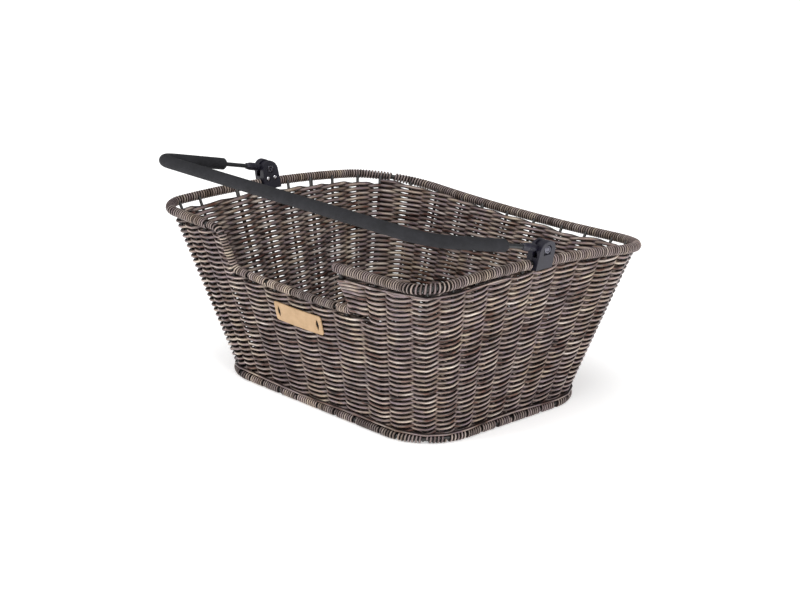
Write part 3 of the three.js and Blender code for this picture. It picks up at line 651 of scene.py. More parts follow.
cut_rows = [row for row in range(ROWS) if front_at(row, 0.0)[1] > RAIL_LOWEST - DIP_ROOM]
print("rows", cut_rows[0], "to", cut_rows[-1], "stop at the dip")

# %% [markdown]
# ## Weaving the wall
# Below the dip the pair of strands runs on without end. Above it each row stops at the dip. At the left leg the
# ends go into the binding. At the right leg, which is bare, the pair is one strand folded round the wire, and it
# leaves the wire a little higher than its row and falls to it, less so under the rim.

# %% Weave
STRAND_TALL, INSIDE_TALLER = 4.4, 0.14
LEG_HEIGHT, LEG_TUCK, FOLD_REACH = 165, DIP_WIRE / 2 + 1.2, (DIP_WIRE + STRAND) / 2
LATE_TURN, LEG_LIFT, LEG_REACH = 1.7, 8.0, 1.9
LEG_TOP, LIFT_STOP, LIFT_FADE = 85.0, 12, 20
LEG_FADE, SWING_FADE = 0.4, 0.3
lift_top = rim_point(LEG_TOP)[2] - LIFT_STOP
wall = Skein()


def weave_strand(line, facing, seat, tone, inside_taller=INSIDE_TALLER):
    """Adds one strand to the wall. It is a little taller on the inside of the wall."""
    tall = STRAND_TALL * (1 - inside_taller * seat)
    wall.tube(line, tall / 2, 8, facing, flatten=STRAND / tall, tone=tone % 1, seat=seat)


def leg_crossing(row, right):
    """How many stakes on a row meets the dip's right or left leg."""
    height = front_at(row, leg_x(LEG_HEIGHT, right))[1]
    return front_at(row, leg_x(height, right) - (0 if right else LEG_TUCK))[0]


def left_of_dip(row):
    """The pair from the seam to the left leg."""
    seam, edge = SEAM + STAKES * row, leg_crossing(row, False)
    last, tail = math.floor(edge), np.linspace(0, 1, 5)[1:]
    walk = np.append(bays(seam, last), last + tail * (edge - last))
    turn = np.append(bays(seam, last), last + tail / 2)
    for swing, tone in ((1, 0.21 + 0.037 * row), (-1, 0.52 + 0.029 * row)):
        weave_strand(*strand_line(walk, swing, turn), tone)


def right_of_dip(row):
    """The folded pair from the right leg to the seam."""
    edge = leg_crossing(row, True)
    first, head = math.ceil(edge), np.linspace(0, 1, 13)[:-1]
    after = bays(first, SEAM + STAKES * (row + 1))
    walk = np.append(edge + head * (first - edge), after)
    turn = np.append(first - 1 + head**LATE_TURN, after)
    front_side = 1 if first % 2 else -1
    outer, outward, outer_seat = strand_line(walk, front_side, turn)
    inner, _, inner_seat = strand_line(walk, -front_side, turn)
    room = np.clip((lift_top - outer[:, 2]) / LIFT_FADE, 0, 1)
    leg = (STAKE_INSET - DIP_INSET) * np.clip(1 - head / LEG_FADE, 0, 1) ** 2
    for points, side, reach in ((outer, 1, LEG_REACH), (inner, -1, LEG_REACH / 2)):
        fall = np.clip(1 - (walk - edge) / reach, 0, 1) ** 2
        points += FRONT_UP * (LEG_LIFT * room * fall)[:, None]
        swung = leg + side * (FOLD_REACH - SWING_OUT) * np.clip(1 - head / SWING_FADE, 0, 1)
        points[: len(head)] += outward[: len(head)] * swung[:, None]
    along = unit(outer[1] + inner[1] - outer[0] - inner[0])
    angle = np.linspace(-np.pi / 2, np.pi / 2, 9)[1:-1, None]
    spoke = outward[0] * np.sin(angle) - along * np.cos(angle)
    line = np.concatenate([inner[::-1], (outer[0] + inner[0]) / 2 + FOLD_REACH * spoke, outer])
    facing = np.concatenate([-outward[::-1], spoke, outward])
    seat = np.concatenate([-inner_seat[::-1], np.ones(len(spoke)), outer_seat])
    weave_strand(line, facing, seat, 0.33 + 0.041 * row, inside_taller=0.0)


for swing, tone in ((1, 0.13), (-1, 0.61)):
    weave_strand(*strand_line(bays(SEAM, SEAM + STAKES * cut_rows[0]), swing), tone)
for row in cut_rows:
    left_of_dip(row)
    right_of_dip(row)
print("the wall has", len(wall.points), "strands")

# %% [markdown]
# ## Loose strands along the edges
# Just above the base binding, and under the rim from the dip round to the right side, one more strand lies on
# the outside of the weave and wavers a little. Each is one tube, at a height that is given along its way.

# %% Edge strands
EDGE_PROUD = 2.2


def edge_strand(first, last, steps, tone, height):
    """height: gives the mm up the slant from the stakes counted on and the length of the slant there."""
    walk = np.linspace(first, last, steps)
    slant = slant_of(walk)
    middle, outward, _ = wall_frame(walk, height(walk, slant) / slant)
    wall.tube(middle + outward * (SWING_OUT + EDGE_PROUD), STRAND / 2, 8, outward, tone=tone)


edge_strand(0.3, STAKES - 0.3, steps=400, tone=0.77,
            height=lambda walk, slant: 8.6 + 1.4 * np.sin(walk * 0.9))
edge_strand(8.2, 14.3, steps=90, tone=0.36,
            height=lambda walk, slant: slant - 9.6 - 1.0 * np.sin(walk * 1.7))
stands_for(wall.build("twined_wall", weave_finish), "basket", "weave", "woven_wall")

# %% [markdown]
# ## Windings
# The rim, the dip and the base are wound with the same strand, turn beside turn. A winding is a spring round the
# wire: its angle grows steadily while it moves along, and round a tight corner its turns fan out. On the dip and
# the base it skips the places where a stake meets the wire, except near the ends of a length. So a dark gap
# shows after every group of turns, and the ends of each group are tucked in. The rim is wound without gaps.

# %% Windings
WIND_RADIUS, WIND_FLAT, TURN_POINTS = 1.38, 0.9, 14
FAN_OUT, TIGHT_CORNER = 0.27, 32.0
GAP, NO_GAP = 0.5, 15.0
TUCK, TUCKED, NEXT_START, END_DRAW = 0.15, 0.35, 1.7, 0.75


def wound(node, line, up, wire, pitch, gaps=(), tones=(0.4,), rounded=0.0):
    """Winds one length of binding round a line. gaps: distances along it that the winding skips. tones: one for
    each group of turns. rounded: how many mm of its start are drawn in to a rounded end."""
    walked = walked_along(line)
    travel = unit(np.gradient(line, axis=0))
    side = unit(np.cross(travel, up))
    face = np.cross(side, travel)
    bend = np.linalg.norm(np.gradient(travel, walked, axis=0), axis=1) * TIGHT_CORNER
    local = pitch * (1 + FAN_OUT * np.clip(bend, 0, 1))
    counted = np.append(0, np.cumsum(np.diff(walked) / ((local[1:] + local[:-1]) / 2)))
    stops = [0, *sorted(g for g in gaps if NO_GAP < g < walked[-1] - NO_GAP), walked[-1]]
    winding, total = Skein(), 0
    for i, (start, end) in enumerate(zip(stops[:-1], stops[1:])):
        start += WRAP / 2 + (GAP / 2 if i else 0)
        end -= WRAP / 2 + (GAP / 2 if i < len(stops) - 2 else 0)
        first, last = np.interp([start, end], walked, counted)
        turns = max(round(last - first), 1)
        t = np.linspace(0, 1, turns * TURN_POINTS + 1)
        distance = np.interp(first + (last - first) * t, counted, walked)
        tucked = np.clip(np.minimum(t, 1 - t) * turns / TUCK, 0, 1)
        radius = wire / 2 + (WRAP / 2) * (TUCKED + (1 - TUCKED) * tucked)
        if rounded:
            from_end = np.clip(distance / rounded, 0, 1)
            radius = radius * np.sqrt(np.clip(1 - (1 - from_end) ** 2 * END_DRAW, 0, 1))
        angle = 2 * np.pi * turns * t + NEXT_START * i
        middle, across, out = (read_off(distance, walked, table) for table in (line, side, face))
        spoke = np.cos(angle)[:, None] * across + np.sin(angle)[:, None] * out
        tone = tones[i % len(tones)]
        winding.tube(middle + spoke * radius[:, None], WIND_RADIUS, 8, spoke, WIND_FLAT, tone=tone)
        total += turns
    stands_for(winding.build(node + "_winding", binding_finish), "basket", "binding", node)
    return total


print("one turn round the rim takes", round(math.pi * (RIM_WIRE + WRAP), 1), "mm of strand")

# %% [markdown]
# ## Winding the rim
# The rim is wound in five lengths, between the brackets, the back corners and the dip. The end over the dip's
# right leg sticks out as a short stub, whose last turns close round it.

# %% Rim windings
PIVOT_Y = -8.5
BRACKET_RUN, END_GAP, STUB_START, STUB_ROUND, LINE_STEP = 12.3, 0.3, 83.0, 6.0, 1.5
RIM_PITCH, RIM_TONES = 3.45, (0.5, 0.62, 0.4, 0.66, 0.55)
right_pivot = float(rim.walked[CORNER_STEPS + 1] + PIVOT_Y - rim.flat[CORNER_STEPS + 1, 1])
left_pivot = rim.total - right_pivot
back_right, back_left = rim.corner_places[1:3]
rim_runs = {
    "front_right": (STUB_START, right_pivot - BRACKET_RUN),
    "back_right": (right_pivot + BRACKET_RUN, back_right - END_GAP),
    "back": (back_right + END_GAP, back_left - END_GAP),
    "back_left": (back_left + END_GAP, left_pivot - BRACKET_RUN),
    "front_left": (left_pivot + BRACKET_RUN, rim_end - END_GAP),
}
total_turns = 0
for tone, (side, (start, end)) in zip(RIM_TONES, rim_runs.items()):
    line = rim_point(np.arange(start, end, LINE_STEP))
    rounded = STUB_ROUND if start == STUB_START else 0.0
    total_turns += wound(f"rim_binding_{side}", line, UP, RIM_WIRE, RIM_PITCH, tones=[tone], rounded=rounded)
print("the rim has", total_turns, "turns")

# %% [markdown]
# ## Winding the dip and the base
# The dip is wound from the rim on its left to the foot of its right leg, and the base in four lengths. The dip's
# gaps lie a little beside the stakes below it.

# %% Dip and base windings
PITCH, DIP_STEP, RAIL_SHARE, LEG_POINTS = 3.3, 1.2, 0.75, 10
RAIL_SHIFTS, DIP_TONES = (0.0, -6.0, -9.0, -6.0, -11.0), (0.55, 0.8, 0.85, 0.1, 0.2, 1.0)
foot_index = np.nonzero(dip_flat[:, 1] < DIP_RIGHT[0][1] + DIP_BEND)[0][-1]
dip_run = dip_line[: foot_index + 1]
dip_walked = walked_along(dip_run)
dense = np.arange(0, dip_walked[-1], DIP_STEP)
dip_dense = read_off(dense, dip_walked, dip_run)
rail_stakes = wall_point(np.arange(4, 9), np.full(5, RAIL_SHARE))[:, 0]
past_leg = dip_dense[LEG_POINTS:, 0]
dip_gaps = [dense[LEG_POINTS + np.abs(past_leg - x).argmin()] for x in rail_stakes + RAIL_SHIFTS]
total_turns += wound("dip_binding", dip_dense, FRONT_OUT, DIP_WIRE, PITCH, dip_gaps, DIP_TONES)
base_stakes = base.distance_of(STAKE_PLACES) % base.total
for i, side in enumerate(("front", "right", "back", "left")):
    start, end = base.sides[i] + END_GAP, base.sides[i + 1] - END_GAP
    gaps = [g for s in base_stakes for g in (s - start, s - base.total - start) if 0 < g < end - start]
    tones = [(0.23 * i + 0.37 * k + 0.05) % 1 for k in range(9)]
    line = base_point(np.arange(start, end, LINE_STEP))
    total_turns += wound(f"base_binding_{side}", line, UP, BASE_WIRE, PITCH, gaps, tones)
print("all windings have", total_turns, "turns")

# %% [markdown]
# ## Floor
# The floor is twined in the same way round the floor wires, in level rows from side to side.

# %% Floor
FLOOR_ROW, FLOOR_MARGIN = 6.2, 7.5
FLOOR_SWING = (FLOOR_WIRE + STRAND) / 2 - 0.05
floor = Skein()
half_rows = int((BASE_HALF_WIDTH - FLOOR_MARGIN) / FLOOR_ROW)
for j in range(-half_rows, half_rows + 1):
    reach = base_reach(j * FLOOR_ROW, BASE_HALF_WIDTH, BASE_HALF_LENGTH) - FLOOR_MARGIN
    x = np.arange(-reach, reach + 0.1, FLOOR_PITCH / 8)
    for swing, tone in ((1, 0.3), (-1, 0.8)):
        angle = np.pi * x / FLOOR_PITCH
        y = j * FLOOR_ROW + swing * SWING_UP * np.sin(angle)
        z = FLOOR_LEVEL + swing * FLOOR_SWING * np.cos(angle)
        floor.tube(np.stack([x, y, z], axis=-1), STRAND / 2, 8, UP, tone=(tone + 0.071 * j) % 1)
stands_for(floor.build("twined_floor", weave_finish), "basket", "weave", "woven_floor")

# %% [markdown]
# ## Handle line
# The handle is one bent steel rod. It leaves both brackets, runs forward, bends round and crosses the front. Its
# line is made lying flat and then turned about the pivot axis to the angle that the CAD gives at rest.

# %% Handle line
PIVOT_RISE, ROD_START, ROD_RADIUS, ROD_STEP = 16.5, 14.8, 2.5, 2.0
RIM_FOOT = rim_height(RIM_HALF_LENGTH, PIVOT_Y)
WALL_LEAN = (RIM_HALF_LENGTH - BASE_HALF_LENGTH) / (RIM_FOOT - BASE_LINE)
ARM_X, PIVOT_Z = RIM_HALF_LENGTH + PIVOT_RISE * WALL_LEAN, RIM_FOOT + PIVOT_RISE
ARM_LENGTH, ARM_ANGLE, HANDLE_BEND = 167.4, math.radians(13.6), 34.0
ARM_DIRECTION = np.array([0.0, -math.cos(ARM_ANGLE), math.sin(ARM_ANGLE)])
HANDLE_UP = np.array([0.0, math.sin(ARM_ANGLE), math.cos(ARM_ANGLE)])


def on_handle(x, along):
    """A place on the handle, given by X and by the distance from the pivot along the arm."""
    x, along = (np.asarray(v, float)[..., None] for v in (x, along))
    return x * [1.0, 0, 0] + np.array([0, PIVOT_Y, PIVOT_Z]) + along * ARM_DIRECTION


def handle_line(from_right, from_left):
    """Points along the rod from one distance from the pivot to another."""
    turn, middle = ARM_LENGTH - HANDLE_BEND, ARM_X - HANDLE_BEND
    arc = [(HANDLE_BEND * math.cos(a), HANDLE_BEND * math.sin(a)) for a in np.linspace(0, np.pi / 2, 18)]
    flat = [(ARM_X, d) for d in np.arange(from_right, turn, ROD_STEP)]
    flat += [(middle + c, turn + s) for c, s in arc]
    flat += [(x, ARM_LENGTH) for x in np.arange(middle - ROD_STEP, -middle + ROD_STEP / 2, -ROD_STEP)]
    flat += [(-middle - s, turn + c) for c, s in arc]
    flat += [(-ARM_X, d) for d in np.arange(turn - ROD_STEP, from_left, -ROD_STEP)] + [(-ARM_X, from_left)]
    return on_handle(*np.array(flat).T)


rod_finish = mottled("coated_rod", (0.010, 0.011, 0.012), (0.022, 0.023, 0.026), 0.36, **PAINT)
rod = Skein()
rod.tube(handle_line(ROD_START, ROD_START), ROD_RADIUS, 16, HANDLE_UP)
stands_for(rod.build("round_bail_rod", rod_finish), "handle", "rod", "bail_rod")

# %% [markdown]
# ## Foam grip
# The grip is a foam tube pulled over the rod. Foam has a fine, dull, slightly open skin, and its cut ends are
# a little rounded.

# %% Foam grip
GRIP_STARTS, GRIP_RADIUS, GRIP_ROUND, GRIP_END = (56.0, 64.0), 7.0, 1.2, 2.0
foam = Finish("closed_cell_foam", 0.85, specular=0.3)
place = foam.place()
mottle = foam.noise(place, 60.0, 4.0, 0.6)
foam.link(foam.ramp(mottle, [(0.3, (0.012, 0.012, 0.014)), (0.7, (0.022, 0.022, 0.026))]), "Base Color")
foam.bump(foam.pores(place, 900.0), 0.25, 0.0003)
grip_line = handle_line(*GRIP_STARTS)
grip_walked = walked_along(grip_line)
from_end = np.minimum(grip_walked, grip_walked[-1] - grip_walked)
radius = GRIP_RADIUS - GRIP_ROUND * np.clip(1 - from_end / GRIP_END, 0, 1) ** 2
grip = Skein()
grip.tube(grip_line, radius, 24, HANDLE_UP)
foam_sleeve = stands_for(grip.build("foam_sleeve", foam.material), "handle", "foam", "foam_grip")

# %% [markdown]
# ## Moulded plastic
# Brackets and end fittings are black plastic from a mould with a fine texture, which gives a soft sheen. On the
# brackets the CAD model has every face, recess and hole, so its mesh is copied and only the edges change: each
# sharp edge gets a small round, as a mould gives it.

# %% Brackets
plastic = Finish("moulded_plastic", 0.42)
place = plastic.place()
grain, cloud = plastic.noise(place, 1500.0, 3.0, 0.6), plastic.noise(place, 45.0, 3.0, 0.5)
plastic.link(plastic.ramp(cloud, [(0.3, (0.007, 0.006, 0.013)), (0.75, (0.014, 0.013, 0.026))]), "Base Color")
plastic.link(plastic.spread(grain, 0.34, 0.52), "Roughness")
plastic.bump(grain, 0.22, 0.0002)
EDGE_ROUND, SHARP = 0.55, math.radians(35)


def rounded_copy(node, name):
    """A copy of a CAD node's mesh with a small round on each sharp edge."""
    work = bmesh.new()
    work.from_mesh(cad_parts[node].data)
    bmesh.ops.remove_doubles(work, verts=work.verts, dist=1e-6)
    bmesh.ops.dissolve_limit(work, angle_limit=math.radians(1), verts=work.verts, edges=work.edges)
    sharp = [edge for edge in work.edges if edge.is_manifold and edge.calc_face_angle() > SHARP]
    bmesh.ops.bevel(work, geom=sharp, offset=EDGE_ROUND * MM, segments=3, profile=0.55, affect="EDGES",
                    clamp_overlap=True)
    for face in work.faces:
        face.smooth = True
    mesh = bpy.data.meshes.new(name)
    work.to_mesh(mesh)
    work.free()
    piece = finished(name, mesh, plastic.material)
    harden = piece.modifiers.new("flat_faces", "WEIGHTED_NORMAL")
    harden.keep_sharp = True
    return piece


for side in ("right", "left"):
    for half in ("inner", "outer"):
        node = f"bracket_{half}_{side}"
        stands_for(rounded_copy(node, f"moulded_{node}"), "basket", "plastic", node)

# %% [markdown]
# ## Turned and pressed pieces
# Bolts, nuts, screws and the eyes of the handle are all rings of points joined along an axis. A ring can be
# round, six-sided or a cross, so one function makes a bolt head with its hexagon socket and a screw with its
# cross recess. Two rings close together make a crisp edge.

# %% Rings of points
ROUND_STEPS, CREASE = 48, 40.0
STEP_ANGLES = 2 * np.pi * np.arange(ROUND_STEPS) / ROUND_STEPS


def disc(radius):
    return np.full(ROUND_STEPS, float(radius))


def hexagon(across, corner_round=0.0):
    """Distance to the edge of a six-sided outline, for each step round."""
    past = (STEP_ANGLES + np.pi / 6) % (np.pi / 3) - np.pi / 6
    return np.minimum(across / 2 / np.cos(past), across / np.sqrt(3) - corner_round)


def cross(arm, middle):
    """Distance to the edge of a cross: one for its four arms and one for the middle between them."""
    past = np.abs((STEP_ANGLES + np.pi / 4) % (np.pi / 2) - np.pi / 4)
    return np.where(past < 0.3, arm, middle)


class Turned:
    """Collects shells made of rings along an axis and turns them into one mesh."""

    def __init__(self):
        self.points, self.faces = [], []

    def shell(self, origin, axis, up, rings, looped=False):
        """rings: (distance along the axis, distances to the edge). A looped row closes on itself."""
        axis, up = unit(np.array(axis, float)), np.array(up, float)
        side = unit(np.cross(up, axis))
        up = np.cross(axis, side)
        spokes = np.cos(STEP_ANGLES)[:, None] * side + np.sin(STEP_ANGLES)[:, None] * up
        first = len(self.points)
        for along, edge in rings:
            self.points.extend(np.asarray(origin, float) + axis * along + spokes * edge[:, None])
        n, count = ROUND_STEPS, len(rings)
        for i in range(count if looped else count - 1):
            here, there = first + i * n, first + (i + 1) % count * n
            self.faces += [(here + j, here + (j + 1) % n, there + (j + 1) % n, there + j) for j in range(n)]
        if not looped:
            for ring, turn in ((0, -1), (count - 1, 1)):
                middle = len(self.points)
                self.points.append(np.asarray(origin, float) + axis * rings[ring][0])
                start = first + ring * n
                for j in range(n):
                    pair = (start + j, start + (j + 1) % n)
                    self.faces.append((*pair[::turn], middle))

    def build(self, name, material):
        mesh = bpy.data.meshes.new(name)
        mesh.from_pydata((np.array(self.points) * MM).tolist(), [], self.faces)
        work = bmesh.new()
        work.from_mesh(mesh)
        bmesh.ops.recalc_face_normals(work, faces=work.faces)
        work.to_mesh(mesh)
        work.free()
        mesh.shade_smooth()
        mesh.set_sharp_from_angle(angle=math.radians(CREASE))
        return finished(name, mesh, material)


print("every ring has", ROUND_STEPS, "points")

# %% [markdown]
# ## Plated steel
# The pivot bolts and nuts have a darker plating and the bracket's screws a bright one. Plated metal needs
# little: a metallic shader, and one fine noise that mottles its colour and gloss and gives it a faint grain.

# %% Plated steel
PLATING = {"scale": 900.0, "detail": 3.0, "light_from": 0.65, "bump": (0.12, 0.0001), "metallic": 1.0}
bolt_finish = mottled("dark_plated_steel", (0.10, 0.10, 0.12), (0.22, 0.22, 0.26), 0.24, **PLATING)
screw_finish = mottled("bright_plated_steel", (0.72, 0.72, 0.75), (0.88, 0.88, 0.90), 0.22, **PLATING)

# %% [markdown]
# ## Bolts, nuts and screws
# Where each piece begins and how long it is are read from the CAD node's own box, so both sides come from one
# loop. The inner side of a bracket faces the middle of the basket: there sit the bolt's head with its socket and
# the two screws. The nut sits on the outer side.

# %% Fasteners
BOLT_SHANK, BOLT_HEAD, BOLT_HEAD_HEIGHT, BOLT_SOCKET, SOCKET_DEPTH = 2.5, 4.3, 2.6, 4.0, 1.8
NUT_ACROSS, NUT_FACE, NUT_HOLE = 8.0, 3.7, 3.0
SCREW_HEAD, SCREW_HEAD_HEIGHT, SCREW_SHANK = 2.6, 1.8, 1.5


def fasten(name, side, node, finish, slot, rings, looped=False, on_pivot=True):
    """Turns one piece, from its node's inner end outwards. rings: a function of the piece's length in mm."""
    low, high = (np.array(corner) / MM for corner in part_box(node))
    start, (y, z) = (low if side > 0 else high)[0], (low[1:] + high[1:]) / 2
    piece = Turned()
    origin = (start, PIVOT_Y, PIVOT_Z) if on_pivot else (start, y, z)
    shells = [(along, edge if np.ndim(edge) else disc(edge)) for along, edge in rings(high[0] - low[0])]
    piece.shell(origin, (side, 0, 0), UP, shells, looped)
    stands_for(piece.build(name, finish), "basket", slot, node)


def bolt_rings(length):
    return [(length, BOLT_SHANK - 0.5), (length - 0.5, BOLT_SHANK), (BOLT_HEAD_HEIGHT + 0.01, BOLT_SHANK),
            (BOLT_HEAD_HEIGHT, BOLT_SHANK + 0.02), (BOLT_HEAD_HEIGHT, BOLT_HEAD - 0.2),
            (BOLT_HEAD_HEIGHT - 0.2, BOLT_HEAD), (0.5, BOLT_HEAD), (0.12, BOLT_HEAD - 0.15),
            (0.0, BOLT_HEAD - 0.5), (0.0, 2.6), (0.25, hexagon(BOLT_SOCKET + 0.1)),
            (SOCKET_DEPTH, hexagon(BOLT_SOCKET))]


def nut_rings(length):
    flats = hexagon(NUT_ACROSS, 0.05)
    return [(0.0, NUT_HOLE), (0.0, NUT_FACE), (0.35, flats), (length - 0.35, flats), (length, NUT_FACE),
            (length, NUT_HOLE), (length - 0.25, NUT_HOLE - 0.2), (0.25, NUT_HOLE - 0.2)]


def screw_rings(length):
    return [(length, 0.3), (length - 1.2, SCREW_SHANK), (SCREW_HEAD_HEIGHT + 0.01, SCREW_SHANK),
            (SCREW_HEAD_HEIGHT, SCREW_SHANK + 0.02), (SCREW_HEAD_HEIGHT, SCREW_HEAD), (0.9, SCREW_HEAD),
            (0.45, 2.4), (0.15, 2.05), (0.0, 1.75), (0.0, cross(1.6, 0.62)), (0.8, cross(1.3, 0.5))]


for name, side in (("right", 1), ("left", -1)):
    fasten(f"socket_bolt_{name}", side, f"pivot_bolt_{name}", bolt_finish, "bolt", bolt_rings)
    fasten(f"hexagon_nut_{name}", side, f"pivot_nut_{name}", bolt_finish, "bolt", nut_rings, looped=True)
    for end in ("front", "back"):
        node = f"bracket_screw_{end}_{name}"
        fasten(f"cross_screw_{end}_{name}", side, node, screw_finish, "screw", screw_rings, on_pivot=False)

# %% [markdown]
# ## Handle end fittings
# Each arm ends in one moulded fitting: an eye on the pivot bolt, a short neck, a barrel with grooves round it
# that grips the rod, and a tapered tip. The shells overlap a little, as they would in a drawing of the mould.

# %% End fittings
EYE_RADIUS, EYE_HALF, EYE_HOLE = 8.0, 3.0, 2.8
BARREL_START, BARREL_END, TIP_END = 12.8, 25.0, 31.0
BARREL_RADIUS, TIP_RADIUS, GROOVE, GROOVE_PITCH = 4.6, 3.5, 0.4, 2.4
NECK_HALF, SQUARENESS = 3.0, 7.0


def neck_outline(half_width, half_height):
    """Distance to the edge of a rounded rectangle, for each step round."""
    c, s = np.abs(np.cos(STEP_ANGLES)), np.abs(np.sin(STEP_ANGLES))
    return ((c / half_width) ** SQUARENESS + (s / half_height) ** SQUARENESS) ** (-1 / SQUARENESS)


eye = [(-EYE_HALF, EYE_HOLE), (-EYE_HALF, EYE_RADIUS - 0.8), (-EYE_HALF + 0.25, EYE_RADIUS - 0.25),
       (-EYE_HALF + 0.8, EYE_RADIUS), (EYE_HALF - 0.8, EYE_RADIUS), (EYE_HALF - 0.25, EYE_RADIUS - 0.25),
       (EYE_HALF, EYE_RADIUS - 0.8), (EYE_HALF, EYE_HOLE)]
neck = [(d, neck_outline(EYE_HALF, NECK_HALF)) for d in (5.5, 9.0, BARREL_START + 0.6)]
barrel = [(BARREL_START, BARREL_RADIUS - 0.9), (BARREL_START + 0.15, BARREL_RADIUS - 0.3),
          (BARREL_START + 0.6, BARREL_RADIUS)]
for groove in np.arange(BARREL_START + 1.9, BARREL_END - 1.0, GROOVE_PITCH):
    for past, depth in ((-0.5, 0), (-0.25, GROOVE), (0.25, GROOVE), (0.5, 0)):
        barrel.append((groove + past, BARREL_RADIUS - depth))
barrel += [(BARREL_END, BARREL_RADIUS), (TIP_END - 0.5, TIP_RADIUS), (TIP_END, TIP_RADIUS - 0.5)]
for name, side in (("right", 1), ("left", -1)):
    pivot, fitting = on_handle(side * ARM_X, 0), Turned()
    fitting.shell(pivot, (1, 0, 0), HANDLE_UP, [(a, disc(r)) for a, r in eye], looped=True)
    fitting.shell(pivot, ARM_DIRECTION, HANDLE_UP, neck)
    fitting.shell(pivot, ARM_DIRECTION, HANDLE_UP, [(d, disc(r)) for d, r in barrel])
    piece = fitting.build(f"moulded_end_{name}", plastic.material)
    stands_for(piece, "handle", "plastic", f"handle_end_{name}")

# %% [markdown]
# ## Label
# A light tan plate is tied to the front through two long slots with pointed ends. Its face is left bare. A
# filled outline with two holes, given a thickness and a small bevel, makes the plate. It is then cut into
# narrow strips so that it can follow a slight bow of the wall.

# %% Label
LABEL_X, LABEL_HEIGHT = 4.4, 113.1
LABEL_LENGTH, LABEL_WIDTH, LABEL_THICKNESS, LABEL_CORNER = 78.6, 22.5, 1.5, 3.0
SLOT_MIDDLE, SLOT_HALF_LENGTH, SLOT_HALF_WIDTH = 32.3, 6.9, 2.2
CORNER_PARTS, SLOT_PARTS, STRIP, LABEL_CREASE = 6, 12, 4.0, 30
WALL_HALF = STAKE_WIRE / 2 + STRAND
LABEL_BACK, LABEL_BOW, LABEL_EDGE = WALL_HALF + 0.3, 0.9, 0.3
label_origin = np.array([LABEL_X, front_y(LABEL_X, LABEL_HEIGHT, STAKE_INSET), LABEL_HEIGHT])


def on_label(points):
    """Turns places along, up and out from the label's middle into the basket's axes."""
    points = np.asarray(points, float)
    along, up, out = points[..., 0:1], points[..., 1:2], points[..., 2:3]
    bow = LABEL_BOW * (1 - (along / (LABEL_LENGTH / 2)) ** 2)
    return label_origin + along * [1.0, 0, 0] + up * FRONT_UP + (out + bow) * FRONT_OUT


def rounded_outline(half_length, half_width, corner):
    found = []
    for sx, sy, start in ((1, -1, -90), (1, 1, 0), (-1, 1, 90), (-1, -1, 180)):
        for k in range(CORNER_PARTS + 1):
            a = math.radians(start + 90 * k / CORNER_PARTS)
            found.append((sx * (half_length - corner) + corner * math.cos(a),
                          sy * (half_width - corner) + corner * math.sin(a)))
    return found


def lens_outline(middle, half_width, half_length):
    """A slot with pointed ends."""
    rise = np.linspace(-1, 1, SLOT_PARTS + 1)
    side = [(middle + half_width * (1 - r * r), r * half_length) for r in rise]
    return side + [(middle - half_width * (1 - r * r), r * half_length) for r in rise[-2:0:-1]]


outline = bpy.data.curves.new("label_outline", "CURVE")
outline.dimensions, outline.fill_mode = "2D", "BOTH"
outline.extrude = (LABEL_THICKNESS / 2 - LABEL_EDGE) * MM
outline.bevel_depth, outline.bevel_resolution, outline.offset = LABEL_EDGE * MM, 2, -LABEL_EDGE * MM
loops = [rounded_outline(LABEL_LENGTH / 2, LABEL_WIDTH / 2, LABEL_CORNER)]
loops += [lens_outline(s * SLOT_MIDDLE, SLOT_HALF_WIDTH, SLOT_HALF_LENGTH) for s in (-1, 1)]
for points in loops:
    spline = outline.splines.new("POLY")
    spline.points.add(len(points) - 1)
    spline.points.foreach_set("co", [v for x, y in points for v in (x * MM, y * MM, 0, 1)])
    spline.use_cyclic_u = True
flat_label = placed("label_outline", outline)
work = bmesh.new()
work.from_mesh(flat_label.to_mesh())
bpy.data.objects.remove(flat_label)
bmesh.ops.remove_doubles(work, verts=work.verts, dist=1e-6)
for x in np.arange(-LABEL_LENGTH / 2 + 3, LABEL_LENGTH / 2 - 2, STRIP):
    everything = [*work.verts, *work.edges, *work.faces]
    bmesh.ops.bisect_plane(work, geom=everything, plane_co=(x * MM, 0, 0), plane_no=(1, 0, 0))
for vertex in work.verts:
    x, y, z = vertex.co
    vertex.co = Vector(on_label([x / MM, y / MM, z / MM + LABEL_BACK + LABEL_THICKNESS / 2]) * MM)
bmesh.ops.recalc_face_normals(work, faces=work.faces)
print("label plate: open edges", sum(not edge.is_manifold for edge in work.edges))
label_mesh = bpy.data.meshes.new("bare_label")
work.to_mesh(label_mesh)
work.free()
label_mesh.shade_smooth()
label_mesh.set_sharp_from_angle(angle=math.radians(LABEL_CREASE))
label = Finish("tan_label", 0.55, specular=0.4)
place = label.place()
cloud = label.noise(place, 70.0, 4.0, 0.6)
label.link(label.ramp(cloud, [(0.3, (0.40, 0.255, 0.130)), (0.7, (0.52, 0.345, 0.195))]), "Base Color")
label.link(label.spread(cloud, 0.45, 0.62), "Roughness")
label.bump(label.pores(place, 1100.0), 0.15, 0.0002)
bare_label = finished("bare_label", label_mesh, label.material)
stands_for(bare_label, "basket", "label", "label_plate")

# %% [markdown]
# ## Label ties
# A dark flat cord comes out of each slot at its lower end, bows over its middle and goes back in at the top.
# Two tubes side by side make it flat, a little further apart in the middle than at the ends.

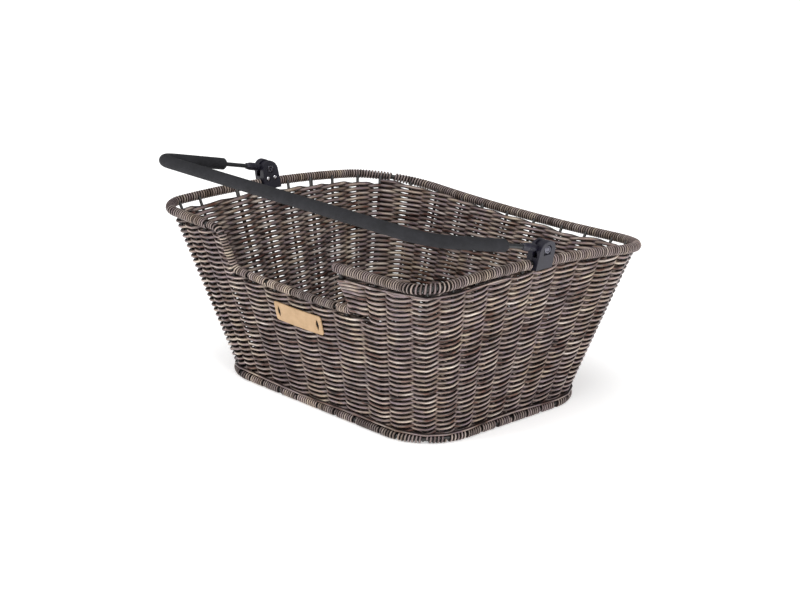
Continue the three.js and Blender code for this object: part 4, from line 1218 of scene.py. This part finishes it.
# %% Label ties
TIE_RADIUS, TIE_REACH, TIE_BOW, TIE_SUNK, TIE_APART = 0.95, 5.9, 3.3, 2.4, 0.9
tie = Finish("dark_tie", 0.7, specular=0.15)
fibre = tie.noise(tie.stretched(tie.carried("lay", "Vector"), (30.0, 3.0, 3.0)), 1.5, 3.0, 0.6)
tie.link(tie.ramp(fibre, [(0.3, (0.006, 0.004, 0.003)), (0.7, (0.022, 0.013, 0.009))]), "Base Color")
tie.bump(fibre, 0.4, 0.0003)
rise = np.linspace(-1, 1, 21)
depth = WALL_HALF - TIE_SUNK + TIE_BOW * (1 - np.abs(rise) ** 2.4)
for name, side in (("left", -1), ("right", 1)):
    cord = Skein()
    for shift in (-TIE_APART, TIE_APART):
        across = side * SLOT_MIDDLE + shift * (1 - 0.6 * rise**2)
        line = on_label(np.stack([across, rise * TIE_REACH, depth], axis=-1))
        cord.tube(line, TIE_RADIUS, 8, FRONT_OUT, flatten=0.9, tone=0.3 + shift / 4)
    stands_for(cord.build(f"cord_tie_{name}", tie.material), "basket", "tie", f"label_tie_{name}")

# %% [markdown]
# ## Stage
# A white floor, a broad soft light from above and two large lamps in front, as in a product picture. The floor
# gives off a little light itself, so that it stays white round the basket.

# %% Stage
scene = bpy.context.scene
scene.view_settings.view_transform = "Standard"
FLOOR_HALF = 6.0
square = [(x * FLOOR_HALF, y * FLOOR_HALF, 0) for x, y in ((-1, -1), (1, -1), (1, 1), (-1, 1))]
floor_mesh = bpy.data.meshes.new("floor")
floor_mesh.from_pydata(square, [], [(0, 1, 2, 3)])
paper = Finish("studio_paper", 0.9)
paper.set("Base Color", (0.95, 0.95, 0.95, 1))
paper.set("Emission Color", (1, 1, 1, 1))
paper.set("Emission Strength", 0.4)
floor_piece = finished("studio_floor", floor_mesh, paper.material)

scene.world = bpy.data.worlds.new("studio")
scene.world.use_nodes = True
for socket, value in (("Color", (1, 1, 1, 1)), ("Strength", 0.28)):
    scene.world.node_tree.nodes["Background"].inputs[socket].default_value = value


def lamp(name, kind, place, target, power, **values):
    data = bpy.data.lights.new(name, kind)
    for key, value in {"energy": power, **values}.items():
        setattr(data, key, value)
    aim(placed(name, data), place, Vector(target) - Vector(place))


lamp("sky_lamp", "SUN", (0.4, -0.6, 3.0), (0, 0, 0), 2.0, angle=math.radians(60))
lamp("key_lamp", "AREA", (-0.7, -2.2, 0.75), (0, 0, 0.1), 19, size=0.8)
lamp("side_lamp", "AREA", (2.3, -0.5, 0.65), (0, 0, 0.1), 22, size=0.8)
